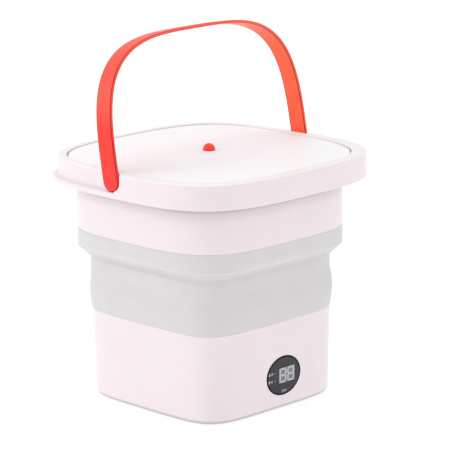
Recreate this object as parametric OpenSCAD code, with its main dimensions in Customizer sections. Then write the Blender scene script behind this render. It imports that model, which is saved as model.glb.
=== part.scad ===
// Collapsible portable mini washer: a square-round bucket whose middle wall is a soft
// bellows, with a geared motor in the base, a lift-off lid and a swinging strap handle.
// Millimetres. Origin on the surface it stands on, below the centre. +Z up, front is -Y.

/* [Base] */
// Half width of the base casing at its top edge
base_half = 107; // [104:0.5:108]
// How much narrower the casing is at the bottom, each side
base_taper = 2.15; // [1:0.1:3]
// Height of the casing's top edge
base_top = 100.5; // [100:0.5:102]
// Wall thickness of the moulded casings
wall = 2.4; // [2.2:0.1:2.6]

/* [Upper body] */
// Half width of the collar under the rim
collar_half = 126; // [125:0.5:127]
// Height of the collar's lower edge, where the bellows starts
collar_bottom = 195; // [193:0.5:197]
// Half width of the top rim
rim_half = 150; // [149:0.5:151]
// Height of the rim's top face
rim_top = 277; // [276:0.5:278]
// Height of the rim's lower edge
rim_bottom = 249; // [248:0.5:250]
// Depth of the channel that holds the folded handle
recess_depth = 5.7; // [5.5:0.1:6]

/* [Lid] */
// Half width of the lid panel
lid_half = 135.4; // [134:0.2:135.6]
// Rise of the lid's centre above its edge
lid_crown = 3; // [2:0.5:4]
// Radius of the lid's pull knob
knob_r = 7; // [6:0.5:8]

/* [Handle] */
// Width of the strap
strap_w = 23; // [20:0.5:23]
// Thickness of the strap
strap_t = 3.2; // [2.6:0.1:3.6]
// Height of the arch's inner face above the pivots
arch_h = 147; // [146:0.5:150]
// How far the handle leans back at rest, in degrees
handle_lean = 10; // [0:1:15]

/* [Drive] */
// Gear module
gear_module = 1; // [1:1:1]
// Teeth of the gear on the pulsator shaft
output_teeth = 48; // [48:1:48]
// Teeth of the compound gear's small pinion
idler_small_teeth = 14; // [14:1:14]
// Teeth of the compound gear's large wheel
idler_large_teeth = 40; // [40:1:40]
// Teeth of the motor pinion
pinion_teeth = 12; // [12:1:12]
// Radius of the pulsator disc
pulsator_r = 72; // [68:1:76]

/* [Control panel] */
// Half width of the oval display window
lens_a = 26.6; // [25:0.2:27.2]
// Half height of the oval display window
lens_b = 22.4; // [22:0.2:23.4]
// Sideways place of the window's centre
lens_x = 7; // [0:1:10]
// Height of the window's centre
lens_z = 38.2; // [37:0.5:40]

/* [Hidden] */
$fn = 64;
outline_points = 64;      // corners of every square-round outline
base_n = 5.4;             // squareness exponent of the base
collar_n = 3.7;           // squareness exponent of the collar
rim_n = 3.52;             // squareness exponent of the rim and the handle arch
lid_n = 3.43;             // squareness exponent of the lid
base_bottom = 0.8;        // the feet lift the casing this far
edge_cut = 2.2;           // the casing's bottom edge is cut back this far
edge_rise = 3.4;          // and the cut ends this far up
cover_t = 2.6;            // thickness of the bottom cover
foot_at = 78;             // the feet stand at +-foot_at
foot_r = 8;
cover_screw_at = 60;      // cover screws stand at +-cover_screw_at
screw_core_r = 1.55;      // pilot holes that the self-tapping screws cut into
screw_pass_r = 1.7;       // holes that they pass through

floor_under = 66;         // underside of the tub floor
floor_top = 69;           // top of the tub floor
tub_wall_top = 101.5;     // half width of the tub's outer wall at its flange
tub_wall_low = 99;        // half width of the tub's outer wall at its floor

seat_z = 264.4;           // top of the ledge that the lid's seal rests on
rim_t = 2.6;              // wall thickness of the rim
lip_top = 255.2;          // top of the lip under the handle channel
recess_front = -13;       // the channel starts this far ahead of the pivots
collar_top = 262;         // top of the collar's flange, under the rim
rim_screw_half = 130.6;   // the rim's screws stand on an outline of this half width
rim_screw_z = 259.4;      // underside of the rim screws' heads' seat
opening_half = 136;       // half width of the rim's opening
pivot_z = 267;            // height of the handle's pivots
peg_r = 4;                // radius of the handle's pivot pegs
peg_bore_r = 4.08;        // radius of the sockets they turn in
arch_half = rim_half - recess_depth + 0.6;   // half width inside the handle arch

shaft_r = 4;              // pulsator shaft
shaft_bottom = 39;
shaft_top = 80;
bush_r = 7;               // outside of the shaft's two bushes
bush_bore_r = 4.05;       // running fit on the pulsator shaft
seal_r = 9.4;             // outside of the shaft's lip seal
motor_shaft_r = 1.15;
motor_r = 13.9;
motor_bottom = 6;
motor_top = 43;
plate_z = 43;             // underside of the gearbox floor
output_gear_z = 54;
idler_large_z = 47.5;
pinion_z = 47.4;
idler_x = gear_module * (output_teeth + idler_small_teeth) / 2;
motor_angle = 60;
motor_arm = gear_module * (idler_large_teeth + pinion_teeth) / 2;
motor_x = idler_x + motor_arm * cos(motor_angle);
motor_y = motor_arm * sin(motor_angle);
box_x = [-34, 60];        // gearbox tray, outside
box_y = [-34, 38];
box_top = 62;             // the gearbox cover lies on the tray here
box_cover_t = 2.4;
idler_pin_r = 1.98;
motor_screw_at = 8;       // the motor's screws stand this far from its axis

spout_x = 52;
spout_z = 79;
spout_r = 8;
spout_bore_r = 6;
spout_end = 126;
jack_x = -52;
jack_depth = 14;          // length of the socket's barrel behind the wall
jack_z = 30;
jack_hole_r = 5.6;
pad_h = 1.6;              // height of the flat seat that the inlet's nut draws up to
pad_r = 9;
nut_t = 3;
gasket_r = 10;
gasket_start = 100.9;     // the drain gasket fills the gap between the tub and the casing
gasket_end = 102.5;
lean = atan(base_taper / (base_top - base_bottom));   // lean of the casing's walls
lens_y = -(base_half - base_taper * (base_top - lens_z) / (base_top - base_bottom));
display_depth = wall + 8.3;        // depth of the display module's back behind the panel
board_t = 1.6;
board_depth = display_depth + 0.2 + board_t;   // depth of the board's back
board_screw_x = 21.5;     // the board's screws stand at +-board_screw_x, +-board_screw_z
board_screw_z = 18.5;

pink = [0.97, 0.90, 0.93];
grey = [0.82, 0.82, 0.82];
white = [0.95, 0.95, 0.96];
red = [0.95, 0.26, 0.22];
black = [0.12, 0.12, 0.14];
steel = [0.72, 0.73, 0.75];
bronze = [0.72, 0.52, 0.30];
nylon = [0.90, 0.89, 0.84];
green = [0.10, 0.38, 0.22];

// ---------- shared shapes ----------

function signed_pow(v, e) = sign(v) * pow(abs(v), e);

// A square-round outline: |x/half|^n + |y/half|^n = 1
function outline(half, n) = [
    for (i = [0:outline_points - 1])
        let (a = 360 * i / outline_points)
        [half * signed_pow(cos(a), 2 / n), half * signed_pow(sin(a), 2 / n)]
];

function rings(profile) = [
    for (p = profile) each [for (q = outline(p[0], p[2])) [q[0], q[1], p[1]]]
];

function band(a, b) = [
    for (i = [0:outline_points - 1])
        let (j = (i + 1) % outline_points)
        [b + i, b + j, a + j, a + i]
];

// A closed ring: profile = [[half, z, n], ...] runs up the outside and down the inside
module ring_loft(profile) {
    count = len(profile);
    m = outline_points;
    polyhedron(
        points = rings(profile),
        faces = [for (k = [0:count - 1]) each band(k * m, ((k + 1) % count) * m)],
        convexity = 8
    );
}

// A capped solid: the profile starts at one flat cap and ends at the other
module cup_loft(profile) {
    count = len(profile);
    m = outline_points;
    polyhedron(
        points = rings(profile),
        faces = concat(
            [for (k = [0:count - 2]) each band(k * m, (k + 1) * m)],
            [[for (i = [0:m - 1]) i]],
            [[for (i = [m - 1:-1:0]) (count - 1) * m + i]]
        ),
        convexity = 8
    );
}

// A straight ring between two half widths
module flat_ring(outer, inner, z0, z1, n) {
    translate([0, 0, z0])
        linear_extrude(z1 - z0)
            difference() {
                polygon(outline(outer, n));
                polygon(outline(inner, n));
            }
}

module at_four(d) {
    for (x = [-d, d], y = [-d, d])
        translate([x, y, 0]) children();
}

module tube(outer_r, inner_r, z0, z1) {
    difference() {
        translate([0, 0, z0]) cylinder(r = outer_r, h = z1 - z0);
        translate([0, 0, z0 - 1]) cylinder(r = inner_r, h = z1 - z0 + 2);
    }
}

function ellipse_points(a, b, m = 72) = [for (i = [0:m - 1]) [a * cos(360 * i / m), b * sin(360 * i / m)]];

// A screw whose head is at z = 0 and whose shank runs up to z = length
module screw(shank_r, length, head_r, head_h) {
    difference() {
        union() {
            translate([0, 0, -head_h]) cylinder(r = head_r, h = head_h, $fn = 32);
            cylinder(r = shank_r, h = length, $fn = 32);
        }
        for (a = [0, 90])
            rotate([0, 0, a])
                translate([-head_r * 0.6, -head_r * 0.11, -head_h - 1])
                    cube([head_r * 1.2, head_r * 0.22, 1 + head_h * 0.6]);
    }
}

// ---------- gears ----------

addendum = 0.78;          // stub teeth, so that the small pinions need no undercut
dedendum = 1.15;
pressure_angle = 20;
tooth_slack = 0.14;       // thinning of each tooth at the pitch circle

function inv_deg(a) = tan(a) * 180 / PI - a;

function flank_angle(r, rb, teeth) =
    90 / teeth - tooth_slack / (gear_module * teeth) * 180 / PI
    + inv_deg(pressure_angle) - (r > rb ? inv_deg(acos(rb / r)) : 0);

function gear_points(teeth) =
    let (
        rp = gear_module * teeth / 2,
        rb = rp * cos(pressure_angle),
        ra = rp + addendum * gear_module,
        rf = rp - dedendum * gear_module,
        start = max(rb, rf + 0.01),
        steps = 4,
        radii = [rf, for (k = [0:steps]) start + (ra - start) * k / steps]
    )
    [for (t = [0:teeth - 1]) each concat(
        [for (r = radii)
            let (a = 360 * t / teeth - flank_angle(r, rb, teeth))
            [r * cos(a), r * sin(a)]],
        [for (k = [len(radii) - 1:-1:0])
            let (r = radii[k], a = 360 * t / teeth + flank_angle(r, rb, teeth))
            [r * cos(a), r * sin(a)]]
    )];

module gear(teeth, z0, z1, turn = 0) {
    translate([0, 0, z0])
        rotate([0, 0, turn])
            linear_extrude(z1 - z0)
                polygon(gear_points(teeth));
}

// ---------- base ----------

function casing_half(z) = base_half - base_taper * (base_top - z) / (base_top - base_bottom);

module lens_hole(extra) {
    translate([lens_x, lens_y, lens_z])
        rotate([90 + lean, 0, 0])
            translate([0, 0, -8])
                linear_extrude(16)
                    polygon(ellipse_points(lens_a + extra, lens_b + extra));
}

module board_screw_places() {
    for (x = [-board_screw_x, board_screw_x], z = [-board_screw_z, board_screw_z])
        translate([x, z, 0]) children();
}

// Outer shell of the base, open below and above, with the bosses that carry the board
module lower_casing() {
    edge_mid = base_bottom + edge_rise * 0.3;
    color(pink)
    difference() {
        union() {
            ring_loft([
                [casing_half(base_bottom) - edge_cut, base_bottom, base_n],
                [casing_half(edge_mid) - edge_cut * 0.35, edge_mid, base_n],
                [casing_half(base_bottom + edge_rise), base_bottom + edge_rise, base_n],
                [base_half, base_top, base_n],
                [base_half - wall, base_top, base_n],
                [casing_half(8) - wall, 8, base_n],
                [casing_half(5) - 2 * wall, 5.5, base_n],
                [casing_half(base_bottom) - 2 * wall, base_bottom, base_n]
            ]);
            on_panel(board_depth - board_t - 0.05)
                board_screw_places() cylinder(r = 3, h = board_depth - board_t - 1.2);
            translate([jack_x, casing_half(jack_z) - wall - pad_h, jack_z])
                rotate([-90, 0, 0]) cylinder(r = pad_r, h = pad_h + 0.6);
            translate([spout_x, gasket_end, spout_z])
                rotate([-90, 0, 0]) cylinder(r = gasket_r + 0.6, h = 2);
        }
        lens_hole(0.15);
        on_panel(board_depth - board_t + 1)
            board_screw_places() cylinder(r = 1.35, h = 9);
        back_hole(jack_x, jack_z, jack_hole_r);
        back_hole(spout_x, spout_z, spout_r + 0.1);
    }
}

// Cuts a round hole through everything at the back
module back_hole(x, z, r) {
    translate([x, 90, z]) rotate([-90, 0, 0]) cylinder(r = r, h = 30);
}

// Washing tub: wall, floor, sleeve for the shaft and the bosses that hang below it
module inner_tub() {
    boss_start = base_bottom + cover_t + 0.2;
    color(pink)
    difference() {
        union() {
            cup_loft([
                [30, floor_under, base_n],
                [tub_wall_low - 3, floor_under, base_n],
                [tub_wall_low, floor_under + 5, base_n],
                [tub_wall_top, base_top - 3, base_n],
                [base_half - wall - 0.4, base_top - 2.5, base_n],
                [base_half - wall - 0.4, base_top, base_n],
                [tub_wall_top - wall, base_top, base_n],
                [tub_wall_low - wall, floor_top + 6, base_n],
                [tub_wall_low - wall - 5, floor_top, base_n],
                [30, floor_top, base_n]
            ]);
            translate([0, 0, 62]) cylinder(r = 14, h = 11.5);
            at_four(cover_screw_at)
                translate([0, 0, boss_start]) cylinder(r = 4.5, h = floor_under + 1 - boss_start);
            box_screw_places() translate([0, 0, box_top + 2.5]) cylinder(r = 3.6, h = 3);
        }
        translate([0, 0, 60]) cylinder(r = bush_r + 0.02, h = 8.5);
        translate([0, 0, 68.5]) cylinder(r = seal_r + 0.1, h = 6);
        at_four(cover_screw_at)
            translate([0, 0, boss_start - 1]) cylinder(r = screw_core_r, h = 14);
        box_screw_places() translate([0, 0, box_top + 1]) cylinder(r = screw_core_r, h = 4.5);
        back_hole(spout_x, spout_z, spout_r + 0.1);
    }
}

// Plate that closes the base from below, with cooling slots
module bottom_cover() {
    color(pink)
    difference() {
        translate([0, 0, base_bottom])
            linear_extrude(cover_t)
                polygon(outline(casing_half(base_bottom) - 2 * wall - 0.4, base_n));
        for (row = [-1, 1], k = [-4:4])
            translate([motor_x * 0.5 + k * 7 - 1.5, row * 26 - 12, base_bottom - 1])
                cube([3, 24, 5]);
        at_four(foot_at)
            translate([0, 0, base_bottom - 1]) cylinder(r = 3, h = 5);
        at_four(cover_screw_at) {
            translate([0, 0, base_bottom - 1]) cylinder(r = 1.8, h = 5);
            translate([0, 0, base_bottom - 1]) cylinder(r = 3.4, h = 2.2);
        }
    }
}

module rubber_feet() {
    color(black)
    at_four(foot_at) {
        cylinder(r = foot_r, h = base_bottom);
        cylinder(r = 2.95, h = base_bottom + cover_t + 0.9);
    }
}

module cover_screws() {
    color(steel)
    at_four(cover_screw_at)
        translate([0, 0, base_bottom + 1.2]) screw(1.5, 12, 3.2, 1.2);
}

// Ring that clamps the bellows' lower bead onto the tub's flange
module lower_clamp_ring() {
    color(white)
    flat_ring(base_half - wall - 0.5, base_half - wall - 3.6, base_top, base_top + 6, base_n);
}

// ---------- bellows ----------

bellows_t = 2.3;
// [height, half width outside], from the base's edge to the collar's edge
bellows_line = [
    [base_top, base_half], [104, base_half + 0.9], [112, 108.7], [126, 109.2], [140, 108.1],
    [155, 107.7], [160.5, 107.9], [163.5, 109.4], [166.5, 112.7], [169.5, 117.2], [172.5, 121.2],
    [175, 123.8], [177.5, 125.4], [180.5, collar_half], [collar_bottom, collar_half]
];
shoulder_low = 161;       // the outline changes from the base's to the collar's
shoulder_high = 178;      // between these two heights

function bellows_n(z) =
    let (t = min(1, max(0, (z - shoulder_low) / (shoulder_high - shoulder_low))))
    base_n + (collar_n - base_n) * t;

// Soft wall between the base and the collar
module bellows() {
    last = len(bellows_line) - 1;
    color(grey)
    ring_loft(concat(
        [for (p = bellows_line) [p[1], p[0], bellows_n(p[0])]],
        [for (k = [last:-1:0])
            let (
                p = bellows_line[k],
                below = bellows_line[max(k - 1, 0)],
                above = bellows_line[min(k + 1, last)],
                slope = (above[1] - below[1]) / (above[0] - below[0]),
                ends = (k == 0 || k == last) ? 0 : 1,
                run = sqrt(1 + slope * slope),
                z = p[0] + ends * bellows_t * slope / run
            )
            [p[1] - bellows_t / (ends == 1 ? run : 1), z, bellows_n(z)]]
    ));
}

// ---------- upper body ----------

module upper_collar() {
    color(pink)
    difference() {
        ring_loft([
            [collar_half, collar_bottom, collar_n],
            [collar_half, collar_top - 4.5, collar_n],
            [collar_half + 8, collar_top - 2.5, rim_n],
            [collar_half + 8, collar_top, rim_n],
            [collar_half - wall, collar_top, collar_n],
            [collar_half - wall, collar_bottom, collar_n]
        ]);
        rim_screw_places() {
            translate([0, 0, rim_screw_z - 10]) cylinder(r = screw_pass_r, h = 20);
            translate([0, 0, rim_screw_z - 10]) cylinder(r = 2.9, h = 10);
        }
    }
}

module rim_screw_places() {
    for (a = [22.5:45:337.5]) {
        p = outline_at(rim_screw_half, a);
        translate([p[0], p[1], 0]) children();
    }
}

// The outline's point in the direction a
function outline_at(half, a) =
    let (k = pow(pow(abs(cos(a)), rim_n) + pow(abs(sin(a)), rim_n), -1 / rim_n))
    [half * k * cos(a), half * k * sin(a)];

module upper_clamp_ring() {
    color(white)
    flat_ring(collar_half - wall - 0.3, collar_half - wall - 3.2, collar_bottom - 7, collar_bottom + 8, collar_n);
}

// Cross-section of the rim with its outer wall at the given half width
function rim_section(outer, foot) = [
    [outer, foot, rim_n],
    [outer, rim_top - 2.4, rim_n],
    [outer - 0.7, rim_top - 0.7, rim_n],
    [outer - 2.4, rim_top, rim_n],
    [opening_half + 0.8, rim_top, rim_n],
    [opening_half, rim_top - 0.8, rim_n],
    [opening_half, seat_z, rim_n],
    [collar_half + 1, seat_z, rim_n],
    [collar_half + 1, collar_top, rim_n],
    [opening_half + rim_t, collar_top, rim_n],
    [opening_half + rim_t, rim_top - rim_t, rim_n],
    [outer - rim_t, rim_top - rim_t, rim_n],
    [outer - rim_t, foot, rim_n]
];

module half_space(y0, y1) {
    translate([-200, y0, 200]) cube([400, y1 - y0, 120]);
}

// Square-round top frame: an inverted channel with the lid's ledge inside it, and behind
// the pivots a channel and lip that take the folded handle
module rim_frame() {
    back_half = rim_half - recess_depth;
    color(pink)
    difference() {
        union() {
            intersection() {
                ring_loft(rim_section(rim_half, rim_bottom));
                half_space(-200, recess_front);
            }
            intersection() {
                ring_loft(rim_section(back_half, lip_top - 2.4));
                half_space(recess_front, 200);
            }
            intersection() {
                union() {
                    flat_ring(rim_half, back_half - rim_t, lip_top - 2.4, lip_top, rim_n);
                    flat_ring(rim_half, rim_half - rim_t, rim_bottom, lip_top, rim_n);
                }
                half_space(recess_front, 200);
            }
            intersection() {
                flat_ring(rim_half, back_half - rim_t, rim_bottom, rim_top - 2.4, rim_n);
                half_space(recess_front - rim_t, recess_front);
            }
            for (side = [-1, 1])
                translate([side * (opening_half + rim_t - 0.4), 0, pivot_z])
                    rotate([0, side * 90, 0])
                        cylinder(r = 7, h = back_half - opening_half - rim_t - 0.2);
        }
        for (side = [-1, 1])
            translate([side * (opening_half + 2.2), 0, pivot_z])
                rotate([0, side * 90, 0])
                    cylinder(r = peg_bore_r, h = 12);
        rim_screw_places() translate([0, 0, rim_screw_z + 0.6]) cylinder(r = 1.3, h = 3.6);
    }
}

module rim_screws() {
    color(steel)
    rim_screw_places() translate([0, 0, rim_screw_z]) screw(1.2, 3.8, 2.6, 1.4);
}

// ---------- lid ----------

module lid_panel() {
    top = rim_top - 1.6;
    color(white)
    difference() {
        union() {
            cup_loft([
                [12, top + lid_crown - 2.2, lid_n],
                [60, top + lid_crown * 0.8 - 2.2, lid_n],
                [105, top + lid_crown * 0.4 - 2.2, lid_n],
                [lid_half - 2.2, top - 2.4, lid_n],
                [lid_half - 2.2, seat_z + 0.8, lid_n],
                [lid_half, seat_z + 0.8, lid_n],
                [lid_half, top - 1.8, lid_n],
                [lid_half - 0.6, top - 0.6, lid_n],
                [lid_half - 2.2, top, lid_n],
                [105, top + lid_crown * 0.4, lid_n],
                [60, top + lid_crown * 0.8, lid_n],
                [12, top + lid_crown, lid_n]
            ]);
            flat_ring(130.4, 128.2, seat_z + 2.2, top - 1.2, lid_n);
        }
        translate([0, 0, 260]) cylinder(r = 2.6, h = 30);
    }
}

module lid_seal() {
    color(grey)
    flat_ring(131.6, 128.2, seat_z + 0.1, seat_z + 2.2, lid_n);
}

knob_base = rim_top - 1.6 + lid_crown;

module lid_knob() {
    color(red)
    difference() {
        union() {
            translate([0, 0, knob_base])
                rotate_extrude()
                    polygon(concat(
                        [[0, 0]],
                        [for (a = [0:6:90]) [knob_r * cos(a), 0.4 + knob_r * 1.05 * sin(a)]]
                    ));
            translate([0, 0, knob_base - 2]) cylinder(r = 2.5, h = 2.5);
        }
        translate([0, 0, knob_base - 3]) cylinder(r = 1.25, h = 7);
    }
}

module knob_screw() {
    color(steel)
    translate([0, 0, knob_base - 2.3]) screw(1.2, 6, 4, 1.6);
}

// ---------- handle ----------

arch_steps = 48;

function arch_points(half, height) = [
    for (i = [0:arch_steps])
        let (a = 180 * i / arch_steps)
        [half * signed_pow(cos(a), 2 / rim_n), height * signed_pow(sin(a), 2 / rim_n)]
];

// Flat strap bent into an arch, with a peg at each round end
module handle_strap() {
    end_drop = strap_w / 2 + 1;
    outer = arch_points(arch_half + strap_t, arch_h + strap_t);
    inner = arch_points(arch_half, arch_h);
    color(red)
    translate([0, 0, pivot_z])
    rotate([-handle_lean, 0, 0])
    union() {
        intersection() {
            translate([0, strap_w / 2, 0])
                rotate([90, 0, 0])
                    linear_extrude(strap_w)
                        polygon(concat(
                            [[arch_half + strap_t, -end_drop]], outer, [[-arch_half - strap_t, -end_drop]],
                            [[-arch_half, -end_drop]], [for (k = [arch_steps:-1:0]) inner[k]], [[arch_half, -end_drop]]
                        ));
            union() {
                translate([-200, -strap_w, 0]) cube([400, 2 * strap_w, 200]);
                translate([-200, 0, 0]) rotate([0, 90, 0]) cylinder(r = strap_w / 2, h = 400);
            }
        }
        for (side = [-1, 1])
            translate([side * (opening_half + rim_t), 0, 0])
                rotate([0, side * 90, 0])
                    cylinder(r = peg_r, h = arch_half - opening_half - rim_t + strap_t / 2);
    }
}

// ---------- drive ----------

module round_box(x, y, z0, z1, r) {
    corners = [for (c = [[1, 1, 0], [0, 1, 90], [0, 0, 180], [1, 0, 270]], a = [0:15:90])
        [x[c[0]] + (c[0] == 1 ? -r : r) + r * cos(a + c[2]),
         y[c[1]] + (c[1] == 1 ? -r : r) + r * sin(a + c[2])]];
    translate([0, 0, z0]) linear_extrude(z1 - z0) polygon(corners);
}

module box_screw_places() {
    for (x = [box_x[0] + 4, box_x[1] - 4], y = [box_y[0] + 4, box_y[1] - 4])
        translate([x, y, 0]) children();
}

// Tray that carries the gears, with the motor hung below it
module gearbox_housing() {
    color(white)
    difference() {
        union() {
            difference() {
                round_box(box_x, box_y, plate_z, box_top, 5);
                round_box([box_x[0] + 2, box_x[1] - 2], [box_y[0] + 2, box_y[1] - 2], plate_z + 3, box_top + 1, 3.5);
            }
            box_screw_places() translate([0, 0, plate_z]) cylinder(r = 3.4, h = box_top - plate_z);
            translate([0, 0, 38]) cylinder(r = 10, h = 8);
        }
        translate([0, 0, 30]) cylinder(r = bush_r + 0.02, h = 40);
        translate([motor_x, motor_y, plate_z - 1]) cylinder(r = 5.2, h = 5);
        translate([idler_x, 0, plate_z - 1]) cylinder(r = idler_pin_r + 0.04, h = 5);
        box_screw_places() translate([0, 0, plate_z - 1]) cylinder(r = screw_pass_r, h = 22);
        for (s = [-1, 1])
            translate([motor_x, motor_y, plate_z - 1])
                rotate([0, 0, motor_angle]) translate([s * motor_screw_at, 0, 0]) cylinder(r = 1.4, h = 5);
    }
}

module gearbox_cover() {
    color(white)
    difference() {
        round_box(box_x, box_y, box_top, box_top + box_cover_t, 5);
        translate([0, 0, box_top - 1]) cylinder(r = 14.1, h = 5);
        box_screw_places() translate([0, 0, box_top - 1]) cylinder(r = screw_pass_r, h = 5);
        translate([idler_x, 0, box_top - 1]) cylinder(r = idler_pin_r + 0.04, h = 2.6);
    }
}

module gearbox_screws() {
    color(steel)
    box_screw_places() translate([0, 0, plate_z]) screw(1.4, 24, 2.5, 1.6);
}

module lower_bush() {
    color(bronze) tube(bush_r, bush_bore_r, 38.5, 46);
}

module upper_bush() {
    color(bronze) tube(bush_r, bush_bore_r, 62.5, 68.4);
}

// Lip seal between the shaft and the tub's sleeve
module shaft_seal() {
    color(black) tube(seal_r, bush_bore_r, 68.6, 72.6);
}

module idler_pin() {
    color(steel) translate([idler_x, 0, plate_z]) cylinder(r = idler_pin_r, h = 20.4);
}

module at_motor() {
    translate([motor_x, motor_y, 0]) children();
}

module motor_can() {
    color(steel)
    at_motor()
    difference() {
        translate([0, 0, motor_bottom + 5]) cylinder(r = motor_r, h = motor_top - motor_bottom - 5);
        translate([0, 0, motor_bottom + 4]) cylinder(r = motor_r - 1.2, h = motor_top - motor_bottom - 6);
        translate([0, 0, motor_top - 4]) cylinder(r = motor_shaft_r + 0.05, h = 6);
        for (s = [-1, 1])
            rotate([0, 0, motor_angle]) translate([s * motor_screw_at, 0, motor_top - 4]) cylinder(r = 1.3, h = 6);
    }
}

module motor_end_cap() {
    color(black)
    at_motor()
    difference() {
        union() {
            translate([0, 0, motor_bottom]) cylinder(r = motor_r, h = 4.9);
            translate([0, 0, motor_bottom + 4.8]) cylinder(r = motor_r - 1.3, h = 2);
        }
        translate([0, 0, motor_bottom + 2]) cylinder(r = motor_shaft_r + 0.05, h = 6);
    }
}

module motor_magnets() {
    color([0.3, 0.3, 0.32])
    at_motor()
    intersection() {
        tube(motor_r - 1.25, 10.3, motor_bottom + 8, motor_top - 5);
        translate([-20, -20, 0])
            union() {
                cube([40, 16, 60]);
                translate([0, 24, 0]) cube([40, 16, 60]);
            }
    }
}

module motor_screws() {
    color(steel)
    at_motor()
    for (s = [-1, 1])
        rotate([0, 0, motor_angle]) translate([s * motor_screw_at, 0, plate_z + 3])
            mirror([0, 0, 1]) screw(1.25, 4.6, 2.4, 1.2);
}

module armature() {
    color([0.35, 0.22, 0.12])
    at_motor()
    difference() {
        union() {
            for (a = [0:120:240])
                rotate([0, 0, a])
                    intersection() {
                        translate([0, 0, motor_bottom + 11]) cylinder(r = 9.6, h = 20);
                        translate([0, -3.5, 0]) cube([10, 7, 60]);
                    }
            translate([0, 0, motor_bottom + 11]) cylinder(r = 5, h = 20);
            translate([0, 0, motor_bottom + 7.5]) cylinder(r = 3, h = 4);
        }
        translate([0, 0, motor_bottom]) cylinder(r = motor_shaft_r + 0.02, h = 40);
    }
}

module motor_shaft() {
    color(steel)
    at_motor() translate([0, 0, motor_bottom + 2.4]) cylinder(r = motor_shaft_r, h = 53.4 - motor_bottom - 2.4);
}

module motor_pinion() {
    color(bronze)
    at_motor()
    difference() {
        gear(pinion_teeth, pinion_z, 53, motor_angle + 180 + 180 / pinion_teeth);
        translate([0, 0, pinion_z - 1]) cylinder(r = motor_shaft_r + 0.02, h = 10);
    }
}

module compound_gear() {
    color(nylon)
    translate([idler_x, 0, 0])
    difference() {
        union() {
            gear(idler_large_teeth, idler_large_z, 52.5, motor_angle);
            gear(idler_small_teeth, 52.4, 61, 180 + 180 / idler_small_teeth);
        }
        translate([0, 0, 40]) cylinder(r = 2.04, h = 30);
    }
}

module output_gear() {
    color(nylon)
    difference() {
        union() {
            gear(output_teeth, output_gear_z, 60, 0);
            translate([0, 0, 46.3]) cylinder(r = 8, h = 8.2);
        }
        translate([0, 0, 40]) cylinder(r = shaft_r + 0.02, h = 30);
    }
}

module output_shaft() {
    color(steel)
    difference() {
        translate([0, 0, shaft_bottom]) cylinder(r = shaft_r, h = shaft_top - shaft_bottom);
        translate([0, 0, shaft_top - 5.4]) cylinder(r = 2.05, h = 6);
    }
}

// ---------- pulsator ----------

fin_count = 6;

// Dished disc with curved fins that turns in the tub's floor
module pulsator() {
    color(white)
    difference() {
        union() {
            rotate_extrude()
                polygon([
                    [0, 74.5], [16, 74.5], [20, 71.5], [pulsator_r - 4, 71.5], [pulsator_r, 75],
                    [pulsator_r - 2, 76.5], [pulsator_r - 8, 75], [30, 75.5], [18, 80], [0, 82]
                ]);
            for (k = [0:fin_count - 1])
                rotate([0, 0, 360 * k / fin_count]) pulsator_fin();
        }
        translate([0, 0, 70]) cylinder(r = shaft_r + 0.02, h = 10.1);
        translate([0, 0, 78]) cylinder(r = 2.2, h = 6);
        translate([0, 0, 80.6]) cylinder(r = 5.5, h = 6);
    }
}

// One fin: a crescent between two arcs, higher towards the middle
module pulsator_fin() {
    bend = 60;
    outer_arc = [for (a = [0:10:bend]) [14 + 50 * a / bend, 17 * sin(a * 180 / bend) + 3.2]];
    inner_arc = [for (a = [bend:-10:0]) [14 + 50 * a / bend, 17 * sin(a * 180 / bend) - 3.2]];
    translate([0, 0, 75]) linear_extrude(9) polygon(concat(outer_arc, inner_arc));
}

module pulsator_cap() {
    color(grey) translate([0, 0, 83.1]) cylinder(r = 5.3, h = 2.4);
}

module pulsator_screw() {
    color(steel) translate([0, 0, 80.8]) mirror([0, 0, 1]) screw(2, 6, 4.4, 2);
}

// ---------- control panel ----------

module on_panel(depth) {
    translate([lens_x, lens_y, lens_z])
        rotate([90 + lean, 0, 0])
            translate([0, 0, -depth]) children();
}

module display_lens() {
    color(black)
    on_panel(wall + 0.1) linear_extrude(wall + 0.5) polygon(ellipse_points(lens_a, lens_b));
}

module display_module() {
    color([0.25, 0.25, 0.27])
    on_panel(display_depth)
        translate([-8, -9.5, 0]) cube([25, 19, 8]);
}

module control_board() {
    color(green)
    on_panel(board_depth)
        difference() {
            translate([-25, -22, 0]) cube([50, 44, board_t]);
            board_screw_places() translate([0, 0, -1]) cylinder(r = 1.5, h = 4);
        }
}

module indicator_leds() {
    color([0.85, 0.35, 0.25])
    for (y = [-3.2, 3.4])
        on_panel(display_depth)
            translate([-14, y, 0]) cylinder(r = 1.5, h = 7.8, $fn = 24);
}

// Outer shape of the coil spring that carries the touch key's signal to the window
module touch_spring() {
    color(steel)
    on_panel(display_depth)
        translate([0, -16.5, 0]) tube(2.9, 2.2, 0, 8);
}

module board_screws() {
    color(steel)
    on_panel(board_depth)
        board_screw_places() translate([0, 0, -0.1]) screw(1.3, 9, 2.6, 1.2);
}

// ---------- power inlet, drain and leads ----------

// Coaxial direct-current socket: barrel, flange and centre pin
module power_inlet() {
    y0 = casing_half(jack_z);
    color(black)
    translate([jack_x, y0 - jack_depth, jack_z])
    rotate([-90, 0, 0])
    union() {
        difference() {
            union() {
                cylinder(r = 5.5, h = jack_depth + 0.3);
                translate([0, 0, jack_depth + 0.2]) cylinder(r = 7.5, h = 1.5);
            }
            translate([0, 0, 5]) cylinder(r = 3.1, h = 20);
        }
        translate([0, 0, 4]) cylinder(r = 1.05, h = 9);
    }
}

module inlet_nut() {
    y0 = casing_half(jack_z);
    color(steel)
    translate([jack_x, y0 - wall - pad_h - nut_t, jack_z])
        rotate([-90, 0, 0])
            difference() {
                cylinder(r = 8, h = nut_t, $fn = 6);
                translate([0, 0, -1]) cylinder(r = 5.55, h = 6);
            }
}

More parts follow.
